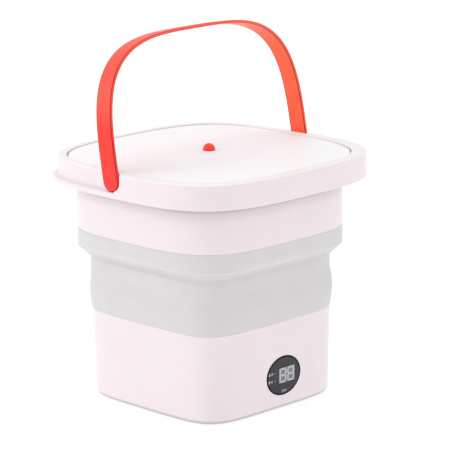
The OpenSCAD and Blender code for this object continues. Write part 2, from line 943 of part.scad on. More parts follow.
// Drain stub: a tube through both walls, with an outside flange
module drain_spout() {
    y0 = casing_half(spout_z);
    color(pink)
    translate([spout_x, 0, spout_z])
    rotate([-90, 0, 0])
    difference() {
        union() {
            translate([0, 0, 97]) cylinder(r = spout_r, h = spout_end - 97);
            translate([0, 0, y0 + 0.3]) cylinder(r = 12, h = 2);
        }
        translate([0, 0, 90]) cylinder(r = spout_bore_r, h = 60);
    }
}

module drain_gasket() {
    color(black)
    translate([spout_x, 0, spout_z])
    rotate([-90, 0, 0])
    tube(gasket_r, spout_r + 0.05, gasket_start, gasket_end);
}

// Push-in bung with a pull ring
module drain_plug() {
    color(grey)
    translate([spout_x, 0, spout_z])
    rotate([-90, 0, 0])
    union() {
        translate([0, 0, spout_end - 14]) cylinder(r = spout_bore_r - 0.05, h = 14.2);
        translate([0, 0, spout_end + 0.1]) cylinder(r = 7.5, h = 2.4);
        translate([0, 0, spout_end + 7])
            rotate([0, 90, 0])
                difference() {
                    translate([0, 0, -1.5]) cylinder(r = 6.5, h = 3);
                    translate([0, 0, -3]) cylinder(r = 4.2, h = 6);
                }
    }
}

// A tube swept along its route's points, eight-sided
function unit(v) = v / norm(v);
function tangent(route, k) = unit(route[min(k + 1, len(route) - 1)] - route[max(k - 1, 0)]);

module swept_tube(route, r) {
    sides = 8;
    count = len(route);
    points = [for (k = [0:count - 1])
        let (
            t = tangent(route, k),
            u = unit(cross(t, [0.13, 0.2, 1])),
            v = cross(t, u)
        )
        each [for (i = [0:sides - 1]) route[k] + r * (u * cos(45 * i) + v * sin(45 * i))]];
    polyhedron(
        points = points,
        faces = concat(
            [for (k = [0:count - 2], i = [0:sides - 1])
                let (j = (i + 1) % sides)
                [k * sides + i, k * sides + j, (k + 1) * sides + j, (k + 1) * sides + i]],
            [[for (i = [sides - 1:-1:0]) i]],
            [[for (i = [0:sides - 1]) (count - 1) * sides + i]]
        ),
        convexity = 4
    );
}

// Routes of the two leads inside the base, all the way between their ends
motor_lead_route = [
    [12, -93, 24], [13, -84, 22], [19, -74, 19], [26, -60, 16], [34, -44, 13],
    [40, -26, 11], [44, -8, 10], [46, 2, 9], [46, 8, 9]
];
inlet_lead_route = [
    [-2, -93, 24], [-5, -82, 21], [-16, -66, 17], [-30, -44, 13], [-42, -18, 10],
    [-47, 12, 10], [-48, 42, 13], [-48, 66, 20], [-50, 78, 27], [-52, 86, 30],
    [jack_x, casing_half(jack_z) - jack_depth, jack_z]
];

module motor_lead() {
    color([0.75, 0.12, 0.1]) swept_tube(motor_lead_route, 1.6);
}

module inlet_lead() {
    color(black) swept_tube(inlet_lead_route, 1.8);
}

// ---------- one node at a time ----------

lower_casing();
inner_tub();
bottom_cover();
rubber_feet();
cover_screws();
lower_clamp_ring();
bellows();
gearbox_housing();
gearbox_cover();
gearbox_screws();
motor_can();
motor_end_cap();
motor_magnets();
motor_screws();
idler_pin();
lower_bush();
upper_bush();
shaft_seal();
display_lens();
display_module();
control_board();
indicator_leds();
touch_spring();
board_screws();
power_inlet();
inlet_nut();
drain_spout();
drain_gasket();
drain_plug();
motor_lead();
inlet_lead();
upper_collar();
upper_clamp_ring();
rim_frame();
rim_screws();
lid_panel();
lid_seal();
lid_knob();
knob_screw();
handle_strap();
pulsator();
pulsator_cap();
pulsator_screw();
output_shaft();
output_gear();
compound_gear();
motor_pinion();
motor_shaft();
armature();
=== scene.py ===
"""Looks of the collapsible mini washer: smooth shells, a soft bellows and moulded details."""

import math

import bmesh
import bpy
import numpy as np
from mathutils import Matrix, Vector


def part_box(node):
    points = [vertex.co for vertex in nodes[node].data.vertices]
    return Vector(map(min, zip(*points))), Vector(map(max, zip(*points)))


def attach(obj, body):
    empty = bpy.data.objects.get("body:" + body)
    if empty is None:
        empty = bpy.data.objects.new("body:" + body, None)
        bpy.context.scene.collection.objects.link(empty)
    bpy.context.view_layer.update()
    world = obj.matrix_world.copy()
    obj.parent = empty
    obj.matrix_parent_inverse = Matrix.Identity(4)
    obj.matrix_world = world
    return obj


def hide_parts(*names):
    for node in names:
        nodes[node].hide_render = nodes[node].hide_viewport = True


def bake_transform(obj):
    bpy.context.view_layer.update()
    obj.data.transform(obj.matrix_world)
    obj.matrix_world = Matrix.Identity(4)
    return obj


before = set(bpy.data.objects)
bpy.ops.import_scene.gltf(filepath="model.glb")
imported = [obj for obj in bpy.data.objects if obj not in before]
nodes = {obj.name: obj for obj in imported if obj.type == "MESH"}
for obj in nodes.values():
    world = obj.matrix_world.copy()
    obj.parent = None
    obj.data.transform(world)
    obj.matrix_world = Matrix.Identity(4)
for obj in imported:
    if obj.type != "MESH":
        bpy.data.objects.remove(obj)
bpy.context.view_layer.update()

# ---------- sizes in metres, the same as in the CAD model ----------

MM = 0.001
AROUND = 288                      # corners of a square-round outline

BASE_HALF = 107 * MM              # half width of the casing's top edge
BASE_TOP = 100.5 * MM
BASE_BOTTOM = 0.8 * MM
BASE_TAPER = 2.15 * MM            # each side, from the top edge to the bottom edge
BASE_N = 5.4                      # squareness exponents
COLLAR_N = 3.7
RIM_N = 3.52
LID_N = 3.43
WALL = 2.4 * MM
EDGE_CUT = 2.2 * MM               # the bottom edge is cut back this far
EDGE_RISE = 3.4 * MM              # and the cut ends this far up

COLLAR_HALF = 126 * MM
COLLAR_BOTTOM = 195 * MM
COLLAR_TOP = 262 * MM

RIM_HALF = 150 * MM
RIM_TOP = 277 * MM
RIM_BOTTOM = 249 * MM
RIM_WALL = 2.6 * MM
RECESS = 5.7 * MM                 # depth of the handle's channel
LIP_TOP = 255.2 * MM              # of the ledge below the channel
POCKET_HALF = 13.2 * MM           # the channel ends in an oval pocket about the pivot
POCKET_DEPTH = 12.3 * MM
RAMP = 3 * MM                     # whose end wall slopes over this length
OPENING_HALF = 136 * MM
SEAT = 264.4 * MM                 # the ledge that carries the lid

LID_HALF = 135.4 * MM
LID_EDGE_TOP = 275.4 * MM
LID_CROWN = 3 * MM
LID_WALL = 2.2 * MM
KNOB_R = 7 * MM

PIVOT_Z = 267 * MM
SOCKET_R = 4.08 * MM              # the hole in the rim for the strap's peg
BOSS_R = 7 * MM
PEG_R = 4 * MM
ARCH_HALF = 144.9 * MM            # inside of the strap's arch, from the pivots
ARCH_HEIGHT = 147 * MM
STRAP_WIDTH = 23 * MM
STRAP_THICK = 3.2 * MM
EDGE_ROUND = 0.4 * MM
EDGE_SHADE_LINE = 1.1 * MM              # the strap's painted edge shade is this wide
HANDLE_LEAN = math.radians(10)

LENS_X = 7 * MM
LENS_Z = 38.2 * MM
LENS_A = 26.6 * MM                # half width and half height of the oval
LENS_B = 22.4 * MM

SPOUT_X = 52 * MM
SPOUT_Z = 79 * MM
SPOUT_END = 126 * MM
SPOUT_R = 8 * MM
DRAIN_R = 6 * MM                  # the bore through the tub's wall
JACK_X = -52 * MM
JACK_Z = 30 * MM
JACK_R = 5.5 * MM
JACK_BORE_R = 3.1 * MM
JACK_PIN_R = 1.05 * MM
HOLE_GAP = 0.1 * MM               # round what passes through the casing


def casing_half(z):
    """Half width of the tapered casing at height z."""
    return BASE_HALF - BASE_TAPER * (BASE_TOP - z) / (BASE_TOP - BASE_BOTTOM)


LEAN = math.atan(BASE_TAPER / (BASE_TOP - BASE_BOTTOM))
LENS_Y = -casing_half(LENS_Z)

# ---------- camera: the photographed view ----------

CAMERA_AZIMUTH = math.radians(-44.62)
CAMERA_ELEVATION = math.radians(13.59)
CAMERA_ROLL = math.radians(0.71)
CAMERA_DISTANCE = 2.943
LENS_MM = 209.8
SENSOR_MM = 36
AIM_HEIGHT = 0.124
AIM_RIGHT = 0.01665
AIM_UP = 0.06657
CLIP_END = 150                    # beyond the floor's corners


def add_camera():
    back = Vector((
        math.sin(CAMERA_AZIMUTH) * math.cos(CAMERA_ELEVATION),
        -math.cos(CAMERA_AZIMUTH) * math.cos(CAMERA_ELEVATION),
        math.sin(CAMERA_ELEVATION),
    ))
    right = Vector((math.cos(CAMERA_AZIMUTH), math.sin(CAMERA_AZIMUTH), 0))
    up = back.cross(right)
    aim = Vector((0, 0, AIM_HEIGHT)) + AIM_RIGHT * right + AIM_UP * up
    rolled_right = math.cos(CAMERA_ROLL) * right - math.sin(CAMERA_ROLL) * up
    rolled_up = math.cos(CAMERA_ROLL) * up + math.sin(CAMERA_ROLL) * right
    data = bpy.data.cameras.new("camera")
    data.lens = LENS_MM
    data.sensor_width = SENSOR_MM
    data.clip_end = CLIP_END
    camera = bpy.data.objects.new("camera", data)
    bpy.context.scene.collection.objects.link(camera)
    turn = Matrix((rolled_right, rolled_up, back)).transposed().to_4x4()
    camera.matrix_world = Matrix.Translation(aim + CAMERA_DISTANCE * back) @ turn
    bpy.context.scene.camera = camera


add_camera()

# ---------- materials ----------

MOTTLE = 35                       # cycles per metre of the slow change in tone
BUMP_STRENGTH = 0.5
COAT_ROUGHNESS = 0.12


def shader_of(material):
    return material.node_tree.nodes["Principled BSDF"]


def new_material(name):
    """A material, its node tree and its Principled shader."""
    material = bpy.data.materials.new(name)
    material.use_nodes = True
    return material, material.node_tree, shader_of(material)


def noise(tree, scale, detail, stretch=(1, 1, 1)):
    """Noise in the object's own space, scale in cycles per metre."""
    place = tree.nodes.new("ShaderNodeTexCoord")
    mapping = tree.nodes.new("ShaderNodeMapping")
    mapping.inputs["Scale"].default_value = stretch
    texture = tree.nodes.new("ShaderNodeTexNoise")
    texture.inputs["Scale"].default_value = scale
    texture.inputs["Detail"].default_value = detail
    tree.links.new(place.outputs["Object"], mapping.inputs["Vector"])
    tree.links.new(mapping.outputs["Vector"], texture.inputs["Vector"])
    return texture.outputs["Fac"]


def spread(tree, value, low, high, begin=0.3, end=0.7):
    """Maps a value from begin..end, where noise mostly lies, to low..high."""
    node = tree.nodes.new("ShaderNodeMapRange")
    node.inputs["From Min"].default_value = begin
    node.inputs["From Max"].default_value = end
    node.inputs["To Min"].default_value = low
    node.inputs["To Max"].default_value = high
    tree.links.new(value, node.inputs["Value"])
    return node.outputs["Result"]


def along(tree, axis, start, end):
    """How far a point lies along X or Z of the object's own space: 0 at start, 1 at end."""
    spot = tree.nodes.new("ShaderNodeTexCoord")
    axes = tree.nodes.new("ShaderNodeSeparateXYZ")
    tree.links.new(spot.outputs["Object"], axes.inputs["Vector"])
    return spread(tree, axes.outputs[axis], 0, 1, start, end)


def mixed(tree, value, first, second):
    """A colour between first and second, chosen by value. Each is a colour or a socket that gives one."""
    node = tree.nodes.new("ShaderNodeMix")
    node.data_type = "RGBA"
    tree.links.new(value, node.inputs["Factor"])
    for name, colour in (("A", first), ("B", second)):
        if isinstance(colour, bpy.types.NodeSocket):
            tree.links.new(colour, node.inputs[name])
        else:
            node.inputs[name].default_value = (*colour, 1)
    return node.outputs["Result"]


def mottled(tree, colour, shade, stretch=(1, 1, 1)):
    """The lighter and the darker tone in slow patches."""
    slow = noise(tree, MOTTLE, 2.0, stretch)
    return mixed(tree, spread(tree, slow, 0, 1), colour, shade)


def bump(tree, shader, value, distance):
    node = tree.nodes.new("ShaderNodeBump")
    node.inputs["Strength"].default_value = BUMP_STRENGTH
    node.inputs["Distance"].default_value = distance
    tree.links.new(value, node.inputs["Height"])
    tree.links.new(node.outputs["Normal"], shader.inputs["Normal"])


def finish_of(name, colour, shade, roughness, grain, depth,
              metallic=0.0, coat=0.0, specular=0.5, stretch=(1, 1, 1)):
    """A surface with slow tonal variation, uneven gloss and a fine grain.

    colour and shade are the lighter and darker tone, roughness a (low, high) pair, grain the bump's
    cycles per metre and depth its height in metres.
    """
    material, tree, shader = new_material(name)
    fine = noise(tree, grain, 4.0, stretch)
    tree.links.new(mottled(tree, colour, shade, stretch), shader.inputs["Base Color"])
    tree.links.new(spread(tree, fine, *roughness), shader.inputs["Roughness"])
    shader.inputs["Metallic"].default_value = metallic
    shader.inputs["Specular IOR Level"].default_value = specular
    shader.inputs["Coat Weight"].default_value = coat
    shader.inputs["Coat Roughness"].default_value = COAT_ROUGHNESS
    bump(tree, shader, fine, depth)
    return material


def shade_by_height(material, *stops):
    """Scales the colour by a share that follows the height, as soft light fades in a corner that hardly
    any of it reaches. stops are (height in mm, share) pairs from the lowest up."""
    tree, shader = material.node_tree, shader_of(material)
    colour = shader.inputs["Base Color"].links[0].from_socket
    low, high = stops[0][0], stops[-1][0]
    ramp = tree.nodes.new("ShaderNodeValToRGB")
    ramp.color_ramp.interpolation = "EASE"
    tree.links.new(along(tree, "Z", low * MM, high * MM), ramp.inputs["Fac"])
    points = ramp.color_ramp.elements
    while len(points) < len(stops):
        points.new(0.5)
    for point, (height, share) in zip(points, stops):
        point.position = (height - low) / (high - low)
        point.color = (share, share, share, 1)
    scaled = tree.nodes.new("ShaderNodeVectorMath")
    scaled.operation = "MULTIPLY"
    tree.links.new(colour, scaled.inputs[0])
    tree.links.new(ramp.outputs["Color"], scaled.inputs[1])
    tree.links.new(scaled.outputs["Vector"], shader.inputs["Base Color"])


def turn_along(material, axis, start, end, colour, shade):
    """Painted light: turns the colour towards a second pair of tones along X or Z, from start to end in mm.
    """
    tree, shader = material.node_tree, shader_of(material)
    first = shader.inputs["Base Color"].links[0].from_socket
    turned = mixed(tree, along(tree, axis, start * MM, end * MM), first, mottled(tree, colour, shade))
    tree.links.new(turned, shader.inputs["Base Color"])


def soften(material, weight, radius, scale):
    """Lets light into a plastic or silicone wall a little."""
    shader = shader_of(material)
    shader.inputs["Subsurface Weight"].default_value = weight
    shader.inputs["Subsurface Radius"].default_value = radius
    shader.inputs["Subsurface Scale"].default_value = scale


def glow(material, colour, strength):
    """Gives off a little light of its own."""
    shader = shader_of(material)
    shader.inputs["Emission Color"].default_value = (*colour, 1)
    shader.inputs["Emission Strength"].default_value = strength


def pink_finish(name):
    """The body's pale pink plastic. A piece with painted shade or painted light of its own has its own
    copy.
    """
    pink = finish_of(name, (0.925, 0.835, 0.865), (0.912, 0.818, 0.85), (0.3, 0.38), 900, 0.00002,
                     coat=0.1)
    soften(pink, 0.06, (0.9, 0.5, 0.55), 0.003)
    return pink


PINK = pink_finish("pink_plastic")
COLLAR_PINK_SHADED = pink_finish("pink_plastic_collar_painted_shade")
# painted shadow: the collar darkens towards the rim above it, from 228 mm up to 246 mm, where the rim's
# overhang shades it
shade_by_height(COLLAR_PINK_SHADED, (228, 1), (237, 0.93), (246, 0.58))
RIM_PINK_TOP_LIT = pink_finish("pink_plastic_rim_painted_top_light")
# painted light: the rim's top turns whiter from 274.6 mm up, as if lit brighter from above
turn_along(RIM_PINK_TOP_LIT, "Z", 274.6, 276.4, (0.96, 0.93, 0.94), (0.945, 0.912, 0.924))
CASING_PINK_SHADED = pink_finish("pink_plastic_casing_painted_shade")
# painted shade: the cut-back bottom edge, which faces the floor, darkens below 5.4 mm
shade_by_height(CASING_PINK_SHADED, (0, 0.5), (1.4, 0.6), (4.2, 0.72), (5.4, 0.985))
LID = finish_of("lid_plastic", (0.965, 0.972, 0.985), (0.95, 0.957, 0.97), (0.42, 0.52), 700, 0.00001,
                specular=0.22)
SILICONE = finish_of("grey_silicone", (0.745, 0.722, 0.735), (0.72, 0.7, 0.712), (0.46, 0.58), 1500,
                     0.00005)
# painted shade on the bellows: a little darker up to 156 mm, and a darker crease under the shoulder,
# darkest at 162 mm
shade_by_height(SILICONE, (100, 0.97), (130, 0.972), (148, 0.99), (156, 0.97), (162, 0.87), (168, 0.93),
                (175, 1))
soften(SILICONE, 0.15, (0.8, 0.8, 0.8), 0.003)
RED = finish_of("red_plastic", (1.0, 0.033, 0.02), (0.975, 0.027, 0.016), (0.34, 0.44), 1100, 0.00002,
                coat=0.05, specular=0.35)
# painted sheen: the strap's arch turns lighter from 320 mm to 345 mm up
turn_along(RED, "Z", 320, 345, (1.0, 0.095, 0.055), (0.98, 0.085, 0.048))
# painted light: the red turns more orange towards +X, as if lit warm from behind
turn_along(RED, "X", -50, 120, (1.0, 0.125, 0.045), (0.98, 0.11, 0.04))
soften(RED, 0.08, (1.0, 0.15, 0.08), 0.002)
# painted light: the red plastic glows a little, though it is no lamp
glow(RED, (1, 0.02, 0.01), 0.1)
# painted shade: a dark red for the shaded lines along the strap's edges and round the knob's foot
RED_SHADE_LINE = finish_of("red_plastic_painted_shade_line", (0.24, 0.008, 0.01), (0.21, 0.007, 0.008), (0.3, 0.4), 1100,
                     0.00002, specular=0.2)
LENS = finish_of("smoked_window", (0.02, 0.017, 0.026), (0.016, 0.013, 0.021), (0.16, 0.22), 500, 0.000004)
LENS_EDGE = finish_of("window_edge", (0.003, 0.002, 0.003), (0.002, 0.001, 0.002), (0.22, 0.3), 900,
                      0.00001, specular=0.12)
DIGIT_BACK = finish_of("digit_window", (0.22, 0.22, 0.235), (0.19, 0.19, 0.205), (0.3, 0.4), 1200, 0.00001)
DIGIT = finish_of("digit_segments", (0.6, 0.6, 0.66), (0.55, 0.55, 0.61), (0.25, 0.35), 1500, 0.00001)
INK = finish_of("panel_ink", (0.62, 0.6, 0.65), (0.57, 0.55, 0.6), (0.4, 0.5), 2500, 0.00001)
WHITE = finish_of("white_plastic", (0.84, 0.83, 0.82), (0.79, 0.78, 0.77), (0.35, 0.46), 1300, 0.00004)
NYLON = finish_of("nylon", (0.76, 0.73, 0.64), (0.7, 0.66, 0.56), (0.4, 0.52), 1500, 0.00004)
BLACK_RUBBER = finish_of("black_rubber", (0.03, 0.03, 0.032), (0.018, 0.018, 0.02), (0.6, 0.75), 1800,
                         0.00008)
BLACK_PLASTIC = finish_of("black_plastic", (0.025, 0.025, 0.027), (0.015, 0.015, 0.017), (0.35, 0.5), 1500,
                          0.00004)
STEEL = finish_of("zinc_steel", (0.6, 0.6, 0.62), (0.5, 0.5, 0.53), (0.22, 0.38), 2600, 0.00001,
                  metallic=1.0, stretch=(1, 1, 6))
BRONZE = finish_of("sintered_bronze", (0.55, 0.33, 0.15), (0.42, 0.24, 0.1), (0.35, 0.5), 3000, 0.00003,
                   metallic=1.0)
MAGNET = finish_of("ferrite", (0.07, 0.07, 0.075), (0.05, 0.05, 0.055), (0.55, 0.7), 2500, 0.00004)
COPPER = finish_of("enamelled_copper", (0.55, 0.16, 0.05), (0.4, 0.1, 0.03), (0.25, 0.35), 2600, 0.0001,
                   metallic=0.9, stretch=(1, 1, 0.15))
BOARD = finish_of("solder_mask", (0.02, 0.12, 0.05), (0.015, 0.09, 0.035), (0.25, 0.4), 900, 0.00003)
LEAD_RED = finish_of("lead_red", (0.5, 0.02, 0.015), (0.4, 0.015, 0.012), (0.4, 0.5), 2000, 0.00003)
LED = finish_of("led_lens", (0.8, 0.62, 0.56), (0.75, 0.55, 0.5), (0.15, 0.25), 1500, 0.00001)

CAD_FINISHES = (
    (PINK, "lower_casing", "inner_tub", "drain_spout", "upper_collar", "rim_frame"),
    (LID, "lid_panel"),
    (SILICONE, "bellows", "drain_plug", "lid_seal", "pulsator_cap"),
    (RED, "lid_knob", "handle_strap"),
    (LENS, "display_lens"),
    (WHITE, "bottom_cover", "lower_clamp_ring", "upper_clamp_ring", "gearbox_housing", "gearbox_cover",
     "pulsator"),
    (NYLON, "output_gear", "compound_gear"),
    (BLACK_RUBBER, "rubber_feet", "shaft_seal", "drain_gasket", "inlet_lead"),
    (BLACK_PLASTIC, "motor_end_cap", "display_module", "power_inlet"),
    (STEEL, "cover_screws", "gearbox_screws", "motor_screws", "board_screws", "rim_screws", "knob_screw",
     "pulsator_screw", "motor_can", "motor_shaft", "output_shaft", "idler_pin", "touch_spring",
     "inlet_nut"),
    (BRONZE, "lower_bush", "upper_bush", "motor_pinion"),
    (MAGNET, "motor_magnets"),
    (COPPER, "armature"),
    (BOARD, "control_board"),
    (LEAD_RED, "motor_lead"),
    (LED, "indicator_leds"),
)
for finish, *names in CAD_FINISHES:
    for name in names:
        nodes[name].data.materials.clear()
        nodes[name].data.materials.append(finish)

# ---------- mesh helpers ----------

CORNER_STEPS = 6                  # of a rounded corner
PER_CORNER = CORNER_STEPS + 3     # points that rounded() makes of a corner


def make_piece(name, vertices, faces, finish, smooth_limit=40):
    """A mesh object with outward faces, smooth except at edges sharper than smooth_limit degrees."""
    mesh = bpy.data.meshes.new(name)
    mesh.from_pydata([tuple(v) for v in vertices], [], faces)
    work = bmesh.new()
    work.from_mesh(mesh)
    bmesh.ops.remove_doubles(work, verts=work.verts, dist=1e-7)
    bmesh.ops.recalc_face_normals(work, faces=work.faces)
    work.to_mesh(mesh)
    work.free()
    piece = bpy.data.objects.new(name, mesh)
    bpy.context.scene.collection.objects.link(piece)
    mesh.materials.append(finish)
    shade(piece, smooth_limit)
    return piece


def shade(piece, smooth_limit=40):
    mesh = piece.data
    mesh.polygons.foreach_set("use_smooth", [True] * len(mesh.polygons))
    mesh.set_sharp_from_angle(angle=math.radians(smooth_limit))


def place(piece, body, slot, *replaced):
    """Rides on a body and stands for the CAD nodes named. The slot argument is not used."""
    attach(piece, body)
    if replaced:
        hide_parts(*replaced)


def join(name, pieces):
    """One object from several, each with its own material."""
    joined = pieces[0]
    for other in pieces[1:]:
        finish = other.data.materials[0]
        known = [m.name for m in joined.data.materials]
        if finish.name not in known:
            joined.data.materials.append(finish)
            known.append(finish.name)
        index = known.index(finish.name)
        other.data.polygons.foreach_set("material_index", [index] * len(other.data.polygons))
    work = bmesh.new()
    for one in pieces:
        one.data.transform(one.matrix_world)
        work.from_mesh(one.data)
    joined.matrix_world = Matrix.Identity(4)
    work.to_mesh(joined.data)
    work.free()
    for other in pieces[1:]:
        bpy.data.objects.remove(other)
    joined.name = name
    return joined


def cut(piece, *cutters):
    """Takes the cutters out of the piece."""
    for cutter in cutters:
        modifier = piece.modifiers.new("cut", "BOOLEAN")
        modifier.operation = "DIFFERENCE"
        modifier.solver = "EXACT"
        modifier.object = cutter
    seen = bpy.context.evaluated_depsgraph_get()
    mesh = bpy.data.meshes.new_from_object(piece.evaluated_get(seen))
    piece.modifiers.clear()
    piece.data = mesh
    for cutter in cutters:
        bpy.data.objects.remove(cutter)
    shade(piece)


def rounded(corners):
    """A closed profile from corners (half width, height, cut): each corner is rounded from cut before it to
    cut after it, with one more point on either side that keeps the flat stretches' shading flat."""
    points = []
    count = len(corners)
    for k, (half, z, reach) in enumerate(corners):
        here = np.array([half, z])
        before = np.array(corners[k - 1][:2]) - here
        after = np.array(corners[(k + 1) % count][:2]) - here
        far_before, far_after = np.linalg.norm(before), np.linalg.norm(after)
        before, after = before / far_before, after / far_after
        reach = min(reach, 0.4 * far_before, 0.4 * far_after)
        points.append(here + 1.2 * reach * before)
        for t in np.linspace(0, 1, CORNER_STEPS + 1):
            points.append(here + reach * (before * (1 - t) ** 2 + after * t**2))
        points.append(here + 1.2 * reach * after)
    return np.array(points)


def directions(count):
    """Angles spread evenly over a full turn."""
    return np.linspace(0, 2 * math.pi, count, endpoint=False)


def oval(half_width, half_height, count):
    """Points round an ellipse."""
    return [(half_width * math.cos(a), half_height * math.sin(a)) for a in directions(count)]


def outline(half, n, angles):
    """Points of |x/half|^n + |y/half|^n = 1 in the directions given."""
    across = np.abs(np.cos(angles)) ** n + np.abs(np.sin(angles)) ** n
    reach = half / across ** (1 / n)
    return np.stack([reach * np.cos(angles), reach * np.sin(angles)], axis=-1)


EVEN = directions(AROUND)


def ring_faces(rings, around, closed):
    faces = []
    for k in range(rings if closed else rings - 1):
        a, b = k * around, ((k + 1) % rings) * around
        for i in range(around):
            j = (i + 1) % around
            faces.append((a + i, a + j, b + j, b + i))
    return faces


def tube_faces(rings, around):
    """Faces between rings of points, with one more face over each end."""
    last = (rings - 1) * around
    return [*ring_faces(rings, around, False), tuple(range(around)), tuple(range(last, last + around))]


def loft(name, profile, exponents, finish, angles=EVEN, closed=True):
    """Rings of square-round outlines. profile is (rings, 2) or (rings, directions, 2), exponents one or
    one a ring. An open loft is closed by a centre point at each end."""
    vertices = []
    exponents = np.broadcast_to(exponents, len(profile))
    for ring, n in zip(profile, exponents):
        half, z = ring[..., 0], ring[..., 1]
        flat = outline(half, n, angles)
        vertices.append(np.column_stack([flat, np.broadcast_to(z, len(angles))]))
    faces = ring_faces(len(profile), len(angles), closed)
    vertices = list(np.concatenate(vertices))
    if not closed:
        last = (len(profile) - 1) * len(angles)
        for start, ring in ((0, profile[0]), (last, profile[-1])):
            vertices.append(np.array([0, 0, np.mean(ring[..., 1])]))
            pole = len(vertices) - 1
            for i in range(len(angles)):
                faces.append((start + i, start + (i + 1) % len(angles), pole))
    return make_piece(name, vertices, faces, finish)


def lathe(name, profile, finish, place_at=Matrix.Identity(4), around=72, closed=True):
    """A turned part: profile is (radius, height) points round its Z axis, then moved to its place."""
    piece = loft(name, np.asarray(profile, float), 2.0, finish, directions(around), closed)
    piece.data.transform(place_at)
    return piece


def drill(radius, length, place_at):
    """A plain cylinder to cut with."""
    return lathe("drill", [(radius, 0), (radius, length)], PINK, place_at, closed=False)


def towards_back(x, y, z):
    """Turns Z to +Y and moves to a place."""
    return Matrix.Translation((x, y, z)) @ Matrix.Rotation(math.radians(-90), 4, "X")


def back_drill(radius, x, z):
    """A cylinder that cuts a round hole through the back wall of the casing or the tub."""
    return drill(radius, 30 * MM, towards_back(x, 90 * MM, z))


def on_panel(x=0.0, up=0.0, out=0.0):
    """A place on the front panel: X to the right, Y up the wall, Z out of it."""
    turn = Matrix.Rotation(math.radians(90) + LEAN, 4, "X")
    return Matrix.Translation((LENS_X, LENS_Y, LENS_Z)) @ turn @ Matrix.Translation((x, up, out))


# ---------- base ----------


def build_casing():
    """Tapered shell with a cut-back bottom edge and, inside, a ledge above the bottom cover."""
    profile = rounded([
        (casing_half(BASE_BOTTOM) - 2 * WALL, BASE_BOTTOM, 0.1 * MM),
        (casing_half(BASE_BOTTOM) - EDGE_CUT, BASE_BOTTOM, 0.5 * MM),
        (casing_half(BASE_BOTTOM + EDGE_RISE), BASE_BOTTOM + EDGE_RISE, 1 * MM),
        (BASE_HALF, BASE_TOP, 0.5 * MM),
        (BASE_HALF - WALL, BASE_TOP, 0.4 * MM),
        (casing_half(8 * MM) - WALL, 8 * MM, 0.6 * MM),
        (casing_half(5.5 * MM) - 2 * WALL, 5.5 * MM, 0.4 * MM),
    ])
    casing = loft("casing_shell", profile, BASE_N, CASING_PINK_SHADED)
    window = oval(LENS_A + 0.15 * MM, LENS_B + 0.15 * MM, 96)
    cut(
        casing,
        slab("lens_hole", window, -8 * MM, 8 * MM, PINK, on_panel()),
        back_drill(JACK_R + HOLE_GAP, JACK_X, JACK_Z),
        back_drill(SPOUT_R + HOLE_GAP, SPOUT_X, SPOUT_Z),
    )
    place(casing, "base", "pink_plastic", "lower_casing")


def build_tub():
    """Inside of the washing chamber, with its flange and the raised sleeve round the shaft."""
    corners = [
        (9.5 * MM, 66 * MM, 0.3 * MM, 2.0),
        (96 * MM, 66 * MM, 4 * MM, BASE_N),
        (101.5 * MM, 97.5 * MM, 0.5 * MM, BASE_N),
        (104.2 * MM, 98 * MM, 0.4 * MM, BASE_N),
        (104.2 * MM, BASE_TOP, 0.4 * MM, BASE_N),
        (99.2 * MM, BASE_TOP, 0.8 * MM, BASE_N),
        (96.2 * MM, 69 * MM, 6 * MM, BASE_N),
        (19 * MM, 69 * MM, 2 * MM, 2.0),
        (14 * MM, 73.5 * MM, 0.8 * MM, 2.0),
        (9.5 * MM, 73.5 * MM, 0.3 * MM, 2.0),
    ]
    profile = rounded([corner[:3] for corner in corners])
    exponents = np.repeat([corner[3] for corner in corners], PER_CORNER)
    tub = loft("tub_shell", profile, exponents, PINK)
    cut(tub, back_drill(DRAIN_R, SPOUT_X, SPOUT_Z))
    place(tub, "base", "pink_plastic", "inner_tub")


def build_feet():
    """Four moulded feet, each with a rounded tread and a shallow ring in its sole."""
    feet = []
    foot_r = 8 * MM
    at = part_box("rubber_feet")[1].x - foot_r
    profile = rounded([
        (0.4 * MM, 0.3 * MM, 0.05 * MM),
        (4.5 * MM, 0.3 * MM, 0.1 * MM),
        (5 * MM, 0, 0.1 * MM),
        (foot_r, 0, 0.3 * MM),
        (foot_r - 0.1 * MM, BASE_BOTTOM, 0.1 * MM),
        (0.4 * MM, BASE_BOTTOM, 0.05 * MM),
    ])
    for x in (-at, at):
        for y in (-at, at):
            feet.append(lathe("foot", profile, BLACK_RUBBER, Matrix.Translation((x, y, 0))))
    place(join("feet", feet), "base", "black_rubber", "rubber_feet")


# ---------- bellows ----------

SILICONE_THICK = 2.3 * MM
SHOULDER_LOW, SHOULDER_HIGH = 160 * MM, 177 * MM
# (height, half width outside) in mm, from the casing's edge to the collar's edge
BELLOWS_LINE = [
    (100.6, 107.1), (101.4, 107.5), (104, 107.9), (112, 108.7), (119, 109.1), (126, 109.2),
    (133, 108.8), (142, 108), (150, 107.6), (156, 107.5), (159.2, 107.7), (161.2, 108.9), (163.6, 111.2),
    (167, 115.4), (170.2, 119.6), (172.6, 122.6), (174.4, 124.4), (177, 125.5), (180.6, 125.9),
    (188, 126), (194.2, 126), (195, 125.9),
]
# the soft wall's waviness: depth in mm, waves round it, phase, and how far it turns from bottom to top
WAVES = ((0.22, 5, 1.3, 14), (0.16, 11, 0, -9), (0.1, 23, 0, 21))


def smooth_line(points, steps):
    """A smooth curve through the points (Catmull-Rom), each stretch in this many steps."""
    points = np.array(points, float)
    padded = np.vstack([2 * points[0] - points[1], points, 2 * points[-1] - points[-2]])
    out = []
    for k in range(1, len(padded) - 2):
        before, a, b, after = padded[k - 1], padded[k], padded[k + 1], padded[k + 2]
        for t in np.linspace(0, 1, steps, endpoint=False):
            out.append(0.5 * (2 * a + (b - before) * t + (2 * before - 5 * a + 4 * b - after) * t**2
                              + (3 * a - before - 3 * b + after) * t**3))
    out.append(points[-1])
    return np.array(out)


